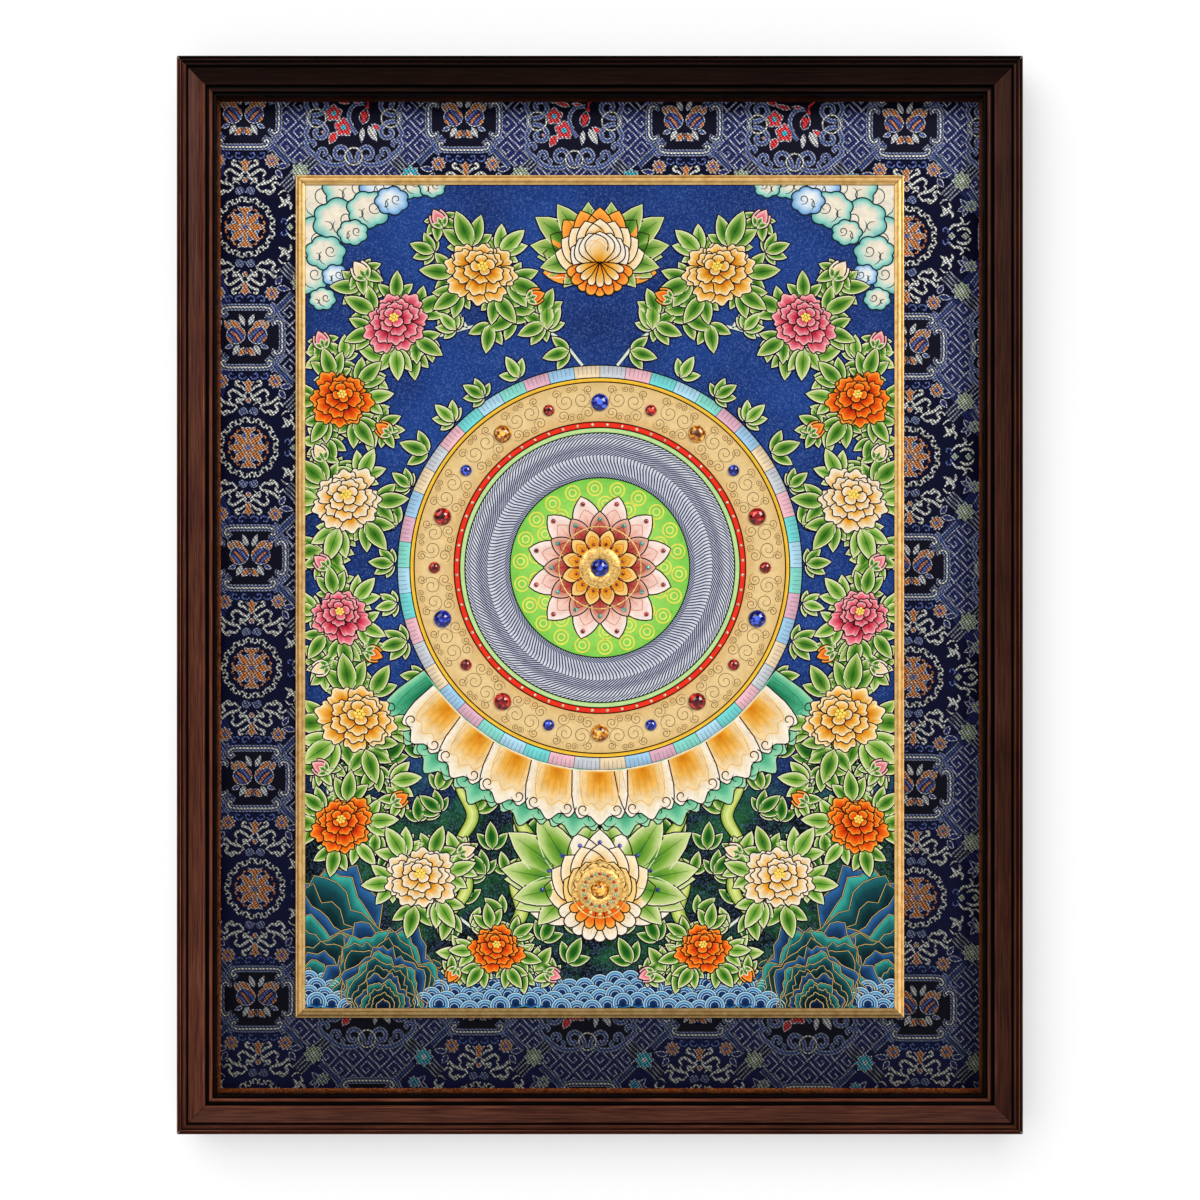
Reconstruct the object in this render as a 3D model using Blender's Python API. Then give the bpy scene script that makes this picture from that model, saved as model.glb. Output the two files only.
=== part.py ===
"""A thangka painting in a deep wooden frame, hung on a wall.

The picture is built as its maker builds it, from the wall forwards: a backing board, a brocade cloth
laid over it, the painted canvas on the cloth, a gilt fillet round the canvas, spacer strips that keep
the frame's lip off the cloth, and four mitred lengths of moulding. Flat-backed stones are glued to the
canvas.

Units are metres and +Z is up. The origin is the middle of the top rail's back, where it lies against
the wall: the wall is the plane Y = 0 and the picture faces -Y.
"""

import math
from collections import namedtuple

import bmesh
import bpy

MM = 0.001

# The whole picture, outside the moulding
WIDTH = 575 * MM
HEIGHT = 733 * MM
DEPTH = 34 * MM

# Pieces that touch in the real picture lie this far apart here
GAP = 0.3 * MM

# Moulding: the rebate behind its lip holds everything else
RAIL_BACK_WIDTH = 17 * MM
RAIL_LIP_BACK = 24.2 * MM  # from the wall to the back of the lip

# Backing board, set forward of the wall so that a hook can sit behind it
HOOK_SPACE = 5.1 * MM
BOARD_THICKNESS = 3 * MM

# Cloth and canvas
BROCADE_THICKNESS = 1.5 * MM
CANVAS_THICKNESS = 1.5 * MM
SIGHT_WIDTH = 408 * MM  # what the gilt fillet leaves in view
SIGHT_HEIGHT = 570 * MM
SIGHT_RISE = -1 * MM  # the canvas lies a little below the frame's middle
CANVAS_TUCK = 1.7 * MM  # hidden under the fillet on each side

SPACER_SETBACK = 0.4 * MM  # behind the edge of the lip
FILLET_REBATE = 2 * MM

# Where each layer starts and ends, from the wall forwards
BOARD_FRONT = HOOK_SPACE + BOARD_THICKNESS
BROCADE_BACK = BOARD_FRONT + GAP
BROCADE_FRONT = BROCADE_BACK + BROCADE_THICKNESS
CANVAS_BACK = BROCADE_FRONT + GAP
CANVAS_FRONT = CANVAS_BACK + CANVAS_THICKNESS
STONE_BACK = CANVAS_FRONT + GAP

# Width and height of what lies in the rebate
REBATE_WIDTH = WIDTH - 2 * (RAIL_BACK_WIDTH + GAP)
REBATE_HEIGHT = HEIGHT - 2 * (RAIL_BACK_WIDTH + GAP)

# A moulded face, from its outer edge inwards. Each row is one member: its form, its width, and how far
# its two sides lie below the moulding's highest line. A bead is rounded, a scoop is hollowed.
Member = namedtuple("Member", "form width outer inner")

RAIL_FACE = (
    Member("bead", 1.2 * MM, 0.5 * MM, 0.5 * MM),
    Member("flat", 0.8 * MM, 1.8 * MM, 1.8 * MM),
    Member("bead", 2.0 * MM, 0.8 * MM, 0.8 * MM),
    Member("flat", 0.6 * MM, 1.7 * MM, 1.7 * MM),
    Member("bead", 2.2 * MM, 1.1 * MM, 1.1 * MM),
    Member("flat", 1.0 * MM, 2.9 * MM, 2.9 * MM),
    Member("scoop", 10.0 * MM, 1.1 * MM, 4.5 * MM),
    Member("bead", 0.9 * MM, 4.5 * MM, 4.5 * MM),
    Member("flat", 2.2 * MM, 6.8 * MM, 6.8 * MM),
    Member("bead", 2.4 * MM, 5.2 * MM, 5.2 * MM),
    Member("flat", 1.7 * MM, 7.0 * MM, 7.0 * MM),
)
BEAD_RISE = 0.8  # of half the bead's width
SCOOP_HOLLOW = 0.5 * MM
BEAD_STEPS = 6
SCOOP_STEPS = 8

FILLET_HEIGHT = 5 * MM
FILLET_FACE = (
    Member("bead", 1.2 * MM, 1.8 * MM, 1.8 * MM),
    Member("flat", 0.6 * MM, 2.2 * MM, 2.2 * MM),
    Member("bead", 3.0 * MM, 1.2 * MM, 1.2 * MM),
    Member("flat", 1.6 * MM, 1.6 * MM, 2.4 * MM),
)

# Stones: flat backs, a short upright rim and three rings of facets round a flat table
StoneCut = namedtuple("StoneCut", "diameter height sides")
STONE_CUTS = {
    "large": StoneCut(12.2 * MM, 3.8 * MM, 16),
    "small": StoneCut(8.0 * MM, 2.8 * MM, 12),
}
FacetRing = namedtuple("FacetRing", "radius height turn")  # shares of the stone's own; turn in facets
FACET_RINGS = (
    FacetRing(0.97, 0.00, 0.0),
    FacetRing(1.00, 0.20, 0.0),
    FacetRing(0.86, 0.56, 0.5),
    FacetRing(0.62, 0.84, 0.0),
    FacetRing(0.34, 1.00, 0.5),
)

# The ring of stones round the painted lotus wheel. Each row is one place, counted in steps from the
# top, and stands on both sides; the first and the last row are on the middle line.
RING_RISE = 20 * MM  # of the wheel's middle above the canvas's middle
RING_RADIUS = 114.5 * MM
RING_STEP = math.radians(18)
StonePlace = namedtuple("StonePlace", "step cut colour")
RING_STONES = (
    StonePlace(0, "large", "blue"),
    StonePlace(1, "small", "red"),
    StonePlace(2, "large", "amber"),
    StonePlace(3, "small", "blue"),
    StonePlace(4, "large", "red"),
    StonePlace(5, "small", "red"),
    StonePlace(6, "large", "blue"),
    StonePlace(7, "small", "red"),
    StonePlace(8, "large", "red"),
    StonePlace(9, "small", "blue"),
    StonePlace(10, "large", "amber"),
)
LOTUS_STONE_RISE = -203 * MM  # of the stone in the lower lotus, from the canvas's middle

Finish = namedtuple("Finish", "colour roughness metallic")
FINISHES = {
    "stained_wood": Finish((0.055, 0.017, 0.009), 0.35, 0.0),
    "spacer_wood": Finish((0.110, 0.030, 0.012), 0.45, 0.0),
    "gilt": Finish((0.560, 0.360, 0.130), 0.35, 0.8),
    "brocade": Finish((0.025, 0.030, 0.100), 0.70, 0.0),
    "painted_canvas": Finish((0.060, 0.120, 0.180), 0.75, 0.0),
    "board": Finish((0.300, 0.190, 0.110), 0.85, 0.0),
    "amber": Finish((0.700, 0.230, 0.020), 0.08, 0.0),
    "red": Finish((0.420, 0.008, 0.010), 0.08, 0.0),
    "blue": Finish((0.010, 0.020, 0.330), 0.08, 0.0),
}


def clear_scene():
    """Removes whatever the scene holds."""
    for old in list(bpy.data.objects):
        bpy.data.objects.remove(old)


def material(name):
    """The Principled material of that finish, made once."""
    found = bpy.data.materials.get(name)
    if found:
        return found
    finish = FINISHES[name]
    made = bpy.data.materials.new(name)
    made.use_nodes = True
    made.diffuse_color = (*finish.colour, 1.0)
    shader = made.node_tree.nodes["Principled BSDF"]
    shader.inputs["Base Color"].default_value = (*finish.colour, 1.0)
    shader.inputs["Roughness"].default_value = finish.roughness
    shader.inputs["Metallic"].default_value = finish.metallic
    return made


def place(mesh, name, finish, parent, location=(0, 0, 0), turn=0.0):
    """A new object of the mesh under the parent, turned about the line that faces the viewer."""
    mesh.materials.clear()
    mesh.materials.append(material(finish))
    made = bpy.data.objects.new(name, mesh)
    bpy.context.scene.collection.objects.link(made)
    made.parent = parent
    made.location = location
    made.rotation_euler = (0, turn, 0)
    return made


def member_points(member, start, top):
    """Points across one member of a moulded face, as (distance inwards, distance from the wall)."""
    if member.form == "flat":
        steps, bulge = 1, 0.0
    elif member.form == "bead":
        steps, bulge = BEAD_STEPS, BEAD_RISE * member.width / 2
    else:
        steps, bulge = SCOOP_STEPS, -SCOOP_HOLLOW
    points = []
    for i in range(steps + 1):
        share = i / steps
        line = member.outer + (member.inner - member.outer) * share
        across = (1 - math.cos(math.pi * share)) / 2 if member.form == "bead" else share
        points.append((start + member.width * across, top - line + bulge * math.sin(math.pi * share)))
    return points


def face_outline(face, top):
    """The moulded face's outline from its outer edge inwards."""
    points, start = [], 0.0
    for member in face:
        across = member_points(member, start, top)
        flush = points and math.dist(points[-1], across[0]) < GAP / 10
        points += across[1:] if flush else across
        start += member.width
    return points


def mitred_bar(name, outline, length):
    """A bar along X with 45 degree ends, its outer edge on Z = 0 and its inner side below.

    The outline holds (distance inwards, distance from the wall), anticlockwise as seen from +X.
    """
    relief = GAP / math.sqrt(2)
    bm = bmesh.new()
    ends = []
    for side in (-1, 1):
        ends.append(
            [
                bm.verts.new((side * (length / 2 - inwards - relief), -forwards, -inwards))
                for inwards, forwards in outline
            ]
        )
    count = len(outline)
    for i in range(count):
        j = (i + 1) % count
        bm.faces.new((ends[0][i], ends[0][j], ends[1][j], ends[1][i]))
    bm.faces.new(reversed(ends[0]))
    bm.faces.new(ends[1])
    bmesh.ops.recalc_face_normals(bm, faces=bm.faces)
    mesh = bpy.data.meshes.new(name)
    bm.to_mesh(mesh)
    bm.free()
    return mesh


def four_sides(name, outline, width, height, finish, parent, rise=0.0):
    """The top, right, bottom and left lengths of one mitred border of that outside size."""
    sides = (
        ("top", width, height / 2, 0),
        ("right", height, width / 2, 1),
        ("bottom", width, height / 2, 2),
        ("left", height, width / 2, 3),
    )
    for side, length, out, quarter in sides:
        angle = quarter * math.pi / 2
        bar = mitred_bar(f"{name}_{side}", outline, length)
        location = (out * math.sin(angle), 0, out * math.cos(angle) + rise)
        place(bar, f"{name}_{side}", finish, parent, location, angle)


def rail_outline():
    """The frame moulding's section: its moulded face, its lip, its rebate and its back."""
    lip = sum(member.width for member in RAIL_FACE)
    return [
        *face_outline(RAIL_FACE, DEPTH),
        (lip, RAIL_LIP_BACK),
        (RAIL_BACK_WIDTH, RAIL_LIP_BACK),
        (RAIL_BACK_WIDTH, 0.0),
        (0.0, 0.0),
    ]


def spacer_outline():
    """A square strip between the brocade and the back of the frame's lip."""
    lip = sum(member.width for member in RAIL_FACE)
    outer, inner = RAIL_BACK_WIDTH + GAP, lip - SPACER_SETBACK
    back, front = BROCADE_FRONT + GAP, RAIL_LIP_BACK - GAP
    thickness = inner - outer
    return [(0.0, front), (thickness, front), (thickness, back), (0.0, back)]


def fillet_outline():
    """The gilt fillet's section: its moulded face and the rebate over the canvas's edge."""
    width = sum(member.width for member in FILLET_FACE)
    back = BROCADE_FRONT + GAP
    return [
        *face_outline(FILLET_FACE, BROCADE_FRONT + FILLET_HEIGHT),
        (width, CANVAS_FRONT + GAP),
        (width - FILLET_REBATE, CANVAS_FRONT + GAP),
        (width - FILLET_REBATE, back),
        (0.0, back),
    ]


def panel(name, width, height, back, front, finish, parent, rise=0.0):
    """A flat rectangular sheet or board, from back to front of the wall."""
    bm = bmesh.new()
    bmesh.ops.create_cube(bm, size=1.0)
    bmesh.ops.scale(bm, vec=(width, front - back, height), verts=bm.verts)
    mesh = bpy.data.meshes.new(name)
    bm.to_mesh(mesh)
    bm.free()
    place(mesh, name, finish, parent, (0, -(back + front) / 2, rise))


def stone_mesh(cut):
    """A flat-backed faceted stone, its back on Y = 0 and its table towards -Y."""
    bm = bmesh.new()
    rings = []
    for ring in FACET_RINGS:
        corners = []
        for i in range(cut.sides):
            angle = 2 * math.pi * (i + ring.turn) / cut.sides
            radius = ring.radius * cut.diameter / 2
            corners.append(
                bm.verts.new((radius * math.sin(angle), -ring.height * cut.height, radius * math.cos(angle)))
            )
        rings.append(corners)
    for lower, upper, ring, above in zip(rings, rings[1:], FACET_RINGS, FACET_RINGS[1:]):
        shift = 1 if above.turn < ring.turn else 0
        for i in range(cut.sides):
            j = (i + 1) % cut.sides
            if above.turn == ring.turn:
                bm.faces.new((lower[i], lower[j], upper[j], upper[i]))
            else:
                here, there = upper[(i + shift) % cut.sides], upper[(j + shift) % cut.sides]
                bm.faces.new((lower[i], lower[j], here))
                bm.faces.new((lower[j], there, here))
    bm.faces.new(reversed(rings[0]))
    bm.faces.new(rings[-1])
    bmesh.ops.recalc_face_normals(bm, faces=bm.faces)
    mesh = bpy.data.meshes.new("stone")
    bm.to_mesh(mesh)
    bm.free()
    return mesh


def stone(name, cut, colour, x, rise, parent):
    """One stone, glued to the canvas that far right of and above its middle."""
    place(stone_mesh(STONE_CUTS[cut]), name, colour, parent, (x, -STONE_BACK, SIGHT_RISE + rise))


def stones(parent):
    """The ring of stones round the wheel, the stone at its middle and the one in the lower lotus."""
    number = 0
    for row in RING_STONES:
        on_middle = row.step in (RING_STONES[0].step, RING_STONES[-1].step)
        for side in (1,) if on_middle else (1, -1):
            number += 1
            angle = side * row.step * RING_STEP
            stone(
                f"stone_ring_{number:02d}",
                row.cut,
                row.colour,
                RING_RADIUS * math.sin(angle),
                RING_RISE + RING_RADIUS * math.cos(angle),
                parent,
            )
    stone("stone_wheel_middle", "large", "blue", 0, RING_RISE, parent)
    stone("stone_lower_lotus", "large", "amber", 0, LOTUS_STONE_RISE, parent)


def main():
    """Builds the picture round an empty at its middle."""
    clear_scene()
    middle = bpy.data.objects.new("picture_middle", None)
    bpy.context.scene.collection.objects.link(middle)
    middle.location = (0, 0, RAIL_BACK_WIDTH / 2 - HEIGHT / 2)

    four_sides("rail", rail_outline(), WIDTH, HEIGHT, "stained_wood", middle)
    four_sides("spacer", spacer_outline(), REBATE_WIDTH, REBATE_HEIGHT, "spacer_wood", middle)
    panel("backing_board", REBATE_WIDTH, REBATE_HEIGHT, HOOK_SPACE, BOARD_FRONT, "board", middle)
    panel("brocade", REBATE_WIDTH, REBATE_HEIGHT, BROCADE_BACK, BROCADE_FRONT, "brocade", middle)

    canvas_width = SIGHT_WIDTH + 2 * CANVAS_TUCK
    canvas_height = SIGHT_HEIGHT + 2 * CANVAS_TUCK
    panel(
        "painting",
        canvas_width,
        canvas_height,
        CANVAS_BACK,
        CANVAS_FRONT,
        "painted_canvas",
        middle,
        SIGHT_RISE,
    )

    fillet_width = sum(member.width for member in FILLET_FACE)
    four_sides(
        "fillet",
        fillet_outline(),
        SIGHT_WIDTH + 2 * fillet_width,
        SIGHT_HEIGHT + 2 * fillet_width,
        "gilt",
        middle,
        SIGHT_RISE,
    )
    stones(middle)


main()
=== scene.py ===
"""A framed thangka painting, dressed for rendering.

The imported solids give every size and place. The moulding, the gilt fillet and the stones keep their
solids and get their finishes here. The brocade and the canvas are replaced by cloth sheets that carry
a woven or painted figure in low relief, drawn in millimetres from the middle of each sheet, with x to
the right and z upwards. The painted design is a generic lotus wheel in a flowering vine.
"""

from __future__ import annotations

import itertools
import logging
import math
import random
from collections.abc import Callable, Iterable, Sequence
from dataclasses import dataclass, field
from enum import Enum
from functools import partial

import bpy
import numpy as np
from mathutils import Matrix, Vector

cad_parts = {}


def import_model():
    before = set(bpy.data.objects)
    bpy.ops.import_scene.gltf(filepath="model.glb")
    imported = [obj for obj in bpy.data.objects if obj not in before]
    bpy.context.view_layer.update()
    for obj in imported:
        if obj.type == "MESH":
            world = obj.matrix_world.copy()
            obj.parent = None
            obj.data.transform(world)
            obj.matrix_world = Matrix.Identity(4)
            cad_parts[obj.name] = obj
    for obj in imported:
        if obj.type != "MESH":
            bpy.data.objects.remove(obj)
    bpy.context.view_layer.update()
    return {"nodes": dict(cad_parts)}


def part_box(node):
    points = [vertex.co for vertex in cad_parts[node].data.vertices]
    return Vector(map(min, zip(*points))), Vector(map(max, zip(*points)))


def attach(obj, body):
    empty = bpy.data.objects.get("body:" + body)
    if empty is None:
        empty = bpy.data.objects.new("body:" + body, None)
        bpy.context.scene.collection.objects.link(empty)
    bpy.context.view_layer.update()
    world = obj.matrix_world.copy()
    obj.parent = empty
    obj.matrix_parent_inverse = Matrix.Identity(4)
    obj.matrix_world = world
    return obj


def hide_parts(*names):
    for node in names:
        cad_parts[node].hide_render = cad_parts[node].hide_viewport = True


log = logging.getLogger("framed_thangka")

MM = 0.001
BODY = "root"
THREAD = "Thread"  # the colour attribute of woven and painted figures
PLANAR_UV = "OFBake"

# The photograph's frame, in its own pixels, and the real size of one pixel at the moulding's face
PHOTO_PIXELS = 1200
PHOTO_MM_PER_PIXEL = 0.6793
VIEW_DISTANCE = 1150 * MM

Ramp = Sequence[tuple[float, str]]
Spot = np.ndarray | tuple[float, float]
Places = np.ndarray | Sequence[Spot]
Lamp = tuple[str, tuple[float, float, float], float, float]


# ---------------------------------------------------------------- colour and node helpers


def linear(hex_colour: str) -> tuple[float, float, float]:
    """Turns an sRGB hex colour to linear light.

    Args:
        hex_colour: Six hex digits after a hash sign.

    Returns:
        Red, green and blue from 0 to 1, linear.
    """
    shares = [int(hex_colour[i : i + 2], 16) / 255 for i in (1, 3, 5)]
    return tuple(s / 12.92 if s <= 0.04045 else ((s + 0.055) / 1.055) ** 2.4 for s in shares)


def rgba(hex_colour: str) -> tuple[float, float, float, float]:
    """The linear colour with an alpha of 1."""
    return (*linear(hex_colour), 1.0)


def ramp_colours(ramp: Ramp, shares: np.ndarray) -> np.ndarray:
    """Reads a colour ramp at many places.

    Args:
        ramp: Stops of (share, hex colour), in rising order.
        shares: Places from 0 to 1.

    Returns:
        One linear colour for each place.
    """
    stops = [stop for stop, _ in ramp]
    colours = np.array([linear(colour) for _, colour in ramp])
    return np.stack([np.interp(shares, stops, colours[:, i]) for i in range(3)], axis=-1)


def node(
    tree: bpy.types.NodeTree,
    kind: str,
    inputs: dict[str | int, object] | None = None,
    out: str | int = 0,
    stops: Iterable[tuple[float, str | float]] = (),
    **attributes: object,
) -> bpy.types.NodeSocket:
    """Adds one shader node with its settings and links.

    Args:
        tree: The material's node tree.
        kind: The node's type name, without its usual first word.
        inputs: What its input sockets get, by name or number: a value, or the output that feeds them.
        out: The output socket that is wanted, by name or number.
        stops: A colour ramp's stops, each a share with a hex colour or a grey value.
        attributes: Values of the node's own properties.

    Returns:
        The output socket.
    """
    made = tree.nodes.new(f"ShaderNode{kind}")
    for name, value in attributes.items():
        setattr(made, name, value)
    for socket, value in (inputs or {}).items():
        if isinstance(value, bpy.types.NodeSocket):
            tree.links.new(value, made.inputs[socket])
        else:
            made.inputs[socket].default_value = value
    if stops := list(stops):
        colours = [rgba(tone) if isinstance(tone, str) else (tone, tone, tone, 1.0) for _, tone in stops]
        ramp = made.color_ramp.elements
        for element, k in zip(ramp, (0, -1)):
            element.position, element.color = stops[k][0], colours[k]
        for (share, _), colour in list(zip(stops, colours))[1:-1]:
            ramp.new(share).color = colour
    return made.outputs[out]


Made = tuple[bpy.types.Material, Callable[..., bpy.types.NodeSocket], bpy.types.NodeSocket]


def new_material(name: str, **settings: object) -> Made:
    """Makes a material with one Principled shader.

    Args:
        name: The material's name.
        settings: Values of the shader's sockets, with an underscore for each space in a socket's name.

    Returns:
        The material, what adds a node to it, and the object's own coordinates.
    """
    material = bpy.data.materials.new(name)
    material.use_nodes = True
    shader = material.node_tree.nodes["Principled BSDF"]
    for socket, value in settings.items():
        shader.inputs[socket.replace("_", " ")].default_value = value
    add = partial(node, material.node_tree)
    return material, add, add("TexCoord", out="Object")


def wire(material: bpy.types.Material, **sources: bpy.types.NodeSocket) -> None:
    """Links outputs to the shader's sockets, with an underscore for each space in a socket's name.

    Args:
        material: The material.
        sources: What feeds each socket.
    """
    tree = material.node_tree
    for socket, source in sources.items():
        tree.links.new(source, tree.nodes["Principled BSDF"].inputs[socket.replace("_", " ")])


def noise_scale(feature: float) -> float:
    """The noise texture's scale for features of that size in millimetres."""
    return 1 / (feature * MM)


def band_scale(pitch: float) -> float:
    """The wave texture's scale for bands of that pitch in millimetres, along one axis."""
    return 2 * math.pi / (20 * pitch * MM)


# ---------------------------------------------------------------- finishes


class Side(Enum):
    """One side of the frame.

    Its values are the axis across it, its outer edge's sign, and the painted light and shade of that side:
    how pale its moulding and its spacer are painted and how bright the foil on its fillet is painted.
    """

    TOP = (2, 1, 0.11, 0.12, 0.95)
    BOTTOM = (2, -1, 0.78, 0.80, 0.36)
    LEFT = (0, -1, 0.97, 0.70, 0.84)
    RIGHT = (0, 1, 0.48, 0.55, 1.20)


@dataclass(frozen=True)
class StainedMoulding:
    """Ramin moulding: machined, stained red-brown and sprayed with satin lacquer.

    The eye gets a dark, fine, straight grain under a soft sheen, near black in the quirks, partly from
    pooled stain and partly as painted shade, with painted highlights along the beads, and each side painted
    lighter or darker.
    """

    side: Side
    edge: float  # m, the outer edge's coordinate
    grain: tuple[str, ...] = ("#2c120b", "#4a261b", "#623a2a")
    roughness: float = 0.40
    grain_width: float = 0.8  # mm
    grain_length: float = 30  # mm
    blend: float = 0.08  # mm, half of how softly one member passes to the next
    most: float = 3.4  # the palest painted highlight that a member can be
    # Where each member ends, in millimetres from the outer edge, and how pale it is painted, as highlight or
    # shade
    members_with_painted_light: tuple[tuple[float, float], ...] = (
        (0.7, 1.2), (1.9, 0.72), (2.75, 3.2), (3.65, 0.0), (4.2, 0.8), (5.0, 3.4), (6.1, 1.0), (7.5, 0.12),
        (17.0, 1.0), (17.8, 1.9), (18.4, 0.95), (20.4, 0.03), (21.1, 0.35), (23.1, 1.8), (25.0, 0.05),
    )  # fmt: skip

    def build(self) -> bpy.types.Material:
        """Makes the material.

        Returns:
            The material.
        """
        name = f"stained_ramin_painted_light_{self.side.name.lower()}"
        lacquer = {"Coat_Weight": 0.02, "Coat_Roughness": 0.22, "Specular_IOR_Level": 0.04}
        material, add, where = new_material(name, **lacquer)
        # Painted light: each side's moulding is painted lighter or darker by the side it is on
        axis, sign, painted_side_light = self.side.value[:3]
        fine, long = noise_scale(self.grain_width), noise_scale(self.grain_length)
        stretch = (long, fine, fine) if axis == 2 else (fine, fine, long)
        along = add("Mapping", {"Scale": stretch, "Vector": where})
        grain = add("TexNoise", {"Scale": 1.0, "Detail": 5.0, "Roughness": 0.6, "Vector": along})
        cloud = add("TexNoise", {"Scale": noise_scale(60), "Detail": 2.0, "Vector": where})
        tone = add("Math", {0: cloud, 1: 0.3, 2: grain}, operation="MULTIPLY_ADD")
        stain = add("ValToRGB", {"Fac": tone}, stops=zip((0.46, 0.66, 0.90), self.grain))
        # The share of the way from the outer to the inner edge picks the member and its painted light or
        # shade
        width, start, shades = self.members_with_painted_light[-1][0], 0.0, []
        for end, pale in self.members_with_painted_light:
            ends = (start + self.blend, end - self.blend)
            shades += [(place / width, pale / self.most) for place in ends]
            start = end
        place = add("SeparateXYZ", {0: where}, out=axis)
        slope = sign / (width * MM)
        sources = {0: place, 1: -slope, 2: self.edge * slope}
        share = add("Math", sources, operation="MULTIPLY_ADD")
        member = add("ValToRGB", {"Fac": share}, stops=shades)
        # Painted highlights on the beads and painted shade in the quirks, scaled by the side's painted light
        pale = add("MapRange", {"To Max": self.most * painted_side_light, "Value": member})
        colour = add("VectorMath", {0: stain, "Scale": pale}, operation="SCALE")
        low, high = self.roughness - 0.08, self.roughness + 0.12
        rough = add("MapRange", {"To Min": low, "To Max": high, "Value": grain})
        bump = add("Bump", {"Strength": 0.25, "Distance": 0.12 * MM, "Height": grain})
        wire(material, Base_Color=colour, Roughness=rough, Normal=bump)
        return material


@dataclass(frozen=True)
class FleckedSpacer:
    """Softwood strip: sawn, painted rust brown and dusted with bronze powder.

    The eye gets a rough, rusty edge with gold-brown flecks along the cloth, with painted shade that darkens
    it towards the front and by side.
    """

    side: Side
    depth: tuple[float, float] = (-0.0225, -0.0125)  # m, where the painted shade is deepest and where the rust is full
    rust: tuple[str, str] = ("#5c210c", "#a8501e")
    bronze: str = "#d89a58"
    fleck: float = 1.6  # mm

    def build(self) -> bpy.types.Material:
        """Makes the material.

        Returns:
            The material.
        """
        name = f"bronze_dusted_spacer_painted_shade_{self.side.name.lower()}"
        material, add, where = new_material(name, Roughness=0.6, Specular_IOR_Level=0.05)
        size = {"Scale": noise_scale(self.fleck * 4), "Detail": 4.0, "Roughness": 0.7, "Vector": where}
        blotch = add("TexNoise", size)
        ground = add("ValToRGB", {"Fac": blotch}, stops=zip((0.35, 0.65), self.rust))
        size = {"Scale": noise_scale(self.fleck), "Detail": 3.0, "Roughness": 0.8, "Vector": where}
        dust = add("TexNoise", size)
        share = add("MapRange", {"From Min": 0.54, "From Max": 0.66, "Value": dust})
        layers = {0: share, 6: ground, 7: rgba(self.bronze)}
        dusted = add("Mix", layers, out=2, data_type="RGBA")
        # Painted shade: darker towards the front, under the moulding's lip, and scaled by the side's painted
        # tone
        front, back = self.depth
        tone = self.side.value[3]
        place = add("SeparateXYZ", {0: where}, out="Y")
        near = {"From Min": front, "From Max": back, "To Min": 0.12 * tone, "To Max": tone, "Value": place}
        shade = add("MapRange", near)
        colour = add("VectorMath", {0: dusted, "Scale": shade}, operation="SCALE")
        bump = add("Bump", {"Strength": 0.5, "Distance": 0.2 * MM, "Height": dust})
        wire(material, Base_Color=colour, Normal=bump)
        return material


@dataclass(frozen=True)
class GiltFillet:
    """Composition gilding: a narrow wood slip, foiled in satin gold.

    The eye gets an even, warm metal with soft highlights along its beads, painted brighter or darker by side.
    """

    side: Side
    gold: tuple[str, str] = ("#cf9f58", "#e6bd7a")
    roughness: float = 0.34

    def build(self) -> bpy.types.Material:
        """Makes the material.

        Returns:
            The material.
        """
        name = f"satin_gilt_foil_painted_light_{self.side.name.lower()}"
        material, add, where = new_material(name, Metallic=0.45, Specular_IOR_Level=0.2)
        size = {"Scale": noise_scale(5), "Detail": 4.0, "Roughness": 0.6, "Vector": where}
        rub = add("TexNoise", size)
        foil = add("ValToRGB", {"Fac": rub}, stops=zip((0.34, 0.60), self.gold))
        # Painted light: the foil's brightness is scaled by the side it is on
        colour = add("VectorMath", {0: foil, "Scale": self.side.value[4]}, operation="SCALE")
        low, high = self.roughness - 0.06, self.roughness + 0.10
        rough = add("MapRange", {"To Min": low, "To Max": high, "Value": rub})
        bump = add("Bump", {"Strength": 0.12, "Distance": 0.05 * MM, "Height": rub})
        wire(material, Base_Color=colour, Roughness=rough, Normal=bump)
        return material


@dataclass(frozen=True)
class SilkGround:
    """Silk and rayon satin: the brocade's ground, woven in navy.

    The eye gets a deep blue with a faint diagonal rib. The rib is drawn at 1.6 mm, coarser than the real
    0.4 mm, because a finer one can't show.
    """

    navy: tuple[str, str] = ("#03040e", "#0f1236")
    rib: float = 1.6  # mm

    def build(self) -> bpy.types.Material:
        """Makes the material.

        Returns:
            The material.
        """
        material, add, where = new_material("navy_satin_weave", Roughness=0.65, Specular_IOR_Level=0.04)
        slanted = add("Mapping", {"Rotation": (0.0, math.radians(45), 0.0), "Vector": where})
        size = {"Scale": band_scale(self.rib), "Distortion": 0.6, "Detail": 1.0, "Vector": slanted}
        rib = add("TexWave", size, out="Fac")
        slub = add("TexNoise", {"Scale": noise_scale(1.4), "Detail": 3.0, "Vector": where})
        tone = add("Math", {0: rib, 1: slub}, operation="MULTIPLY")
        colour = add("ValToRGB", {"Fac": tone}, stops=zip((0.08, 0.55), self.navy))
        bump = add("Bump", {"Strength": 0.5, "Distance": 0.12 * MM, "Height": rib})
        wire(material, Base_Color=colour, Normal=bump)
        return material


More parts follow.
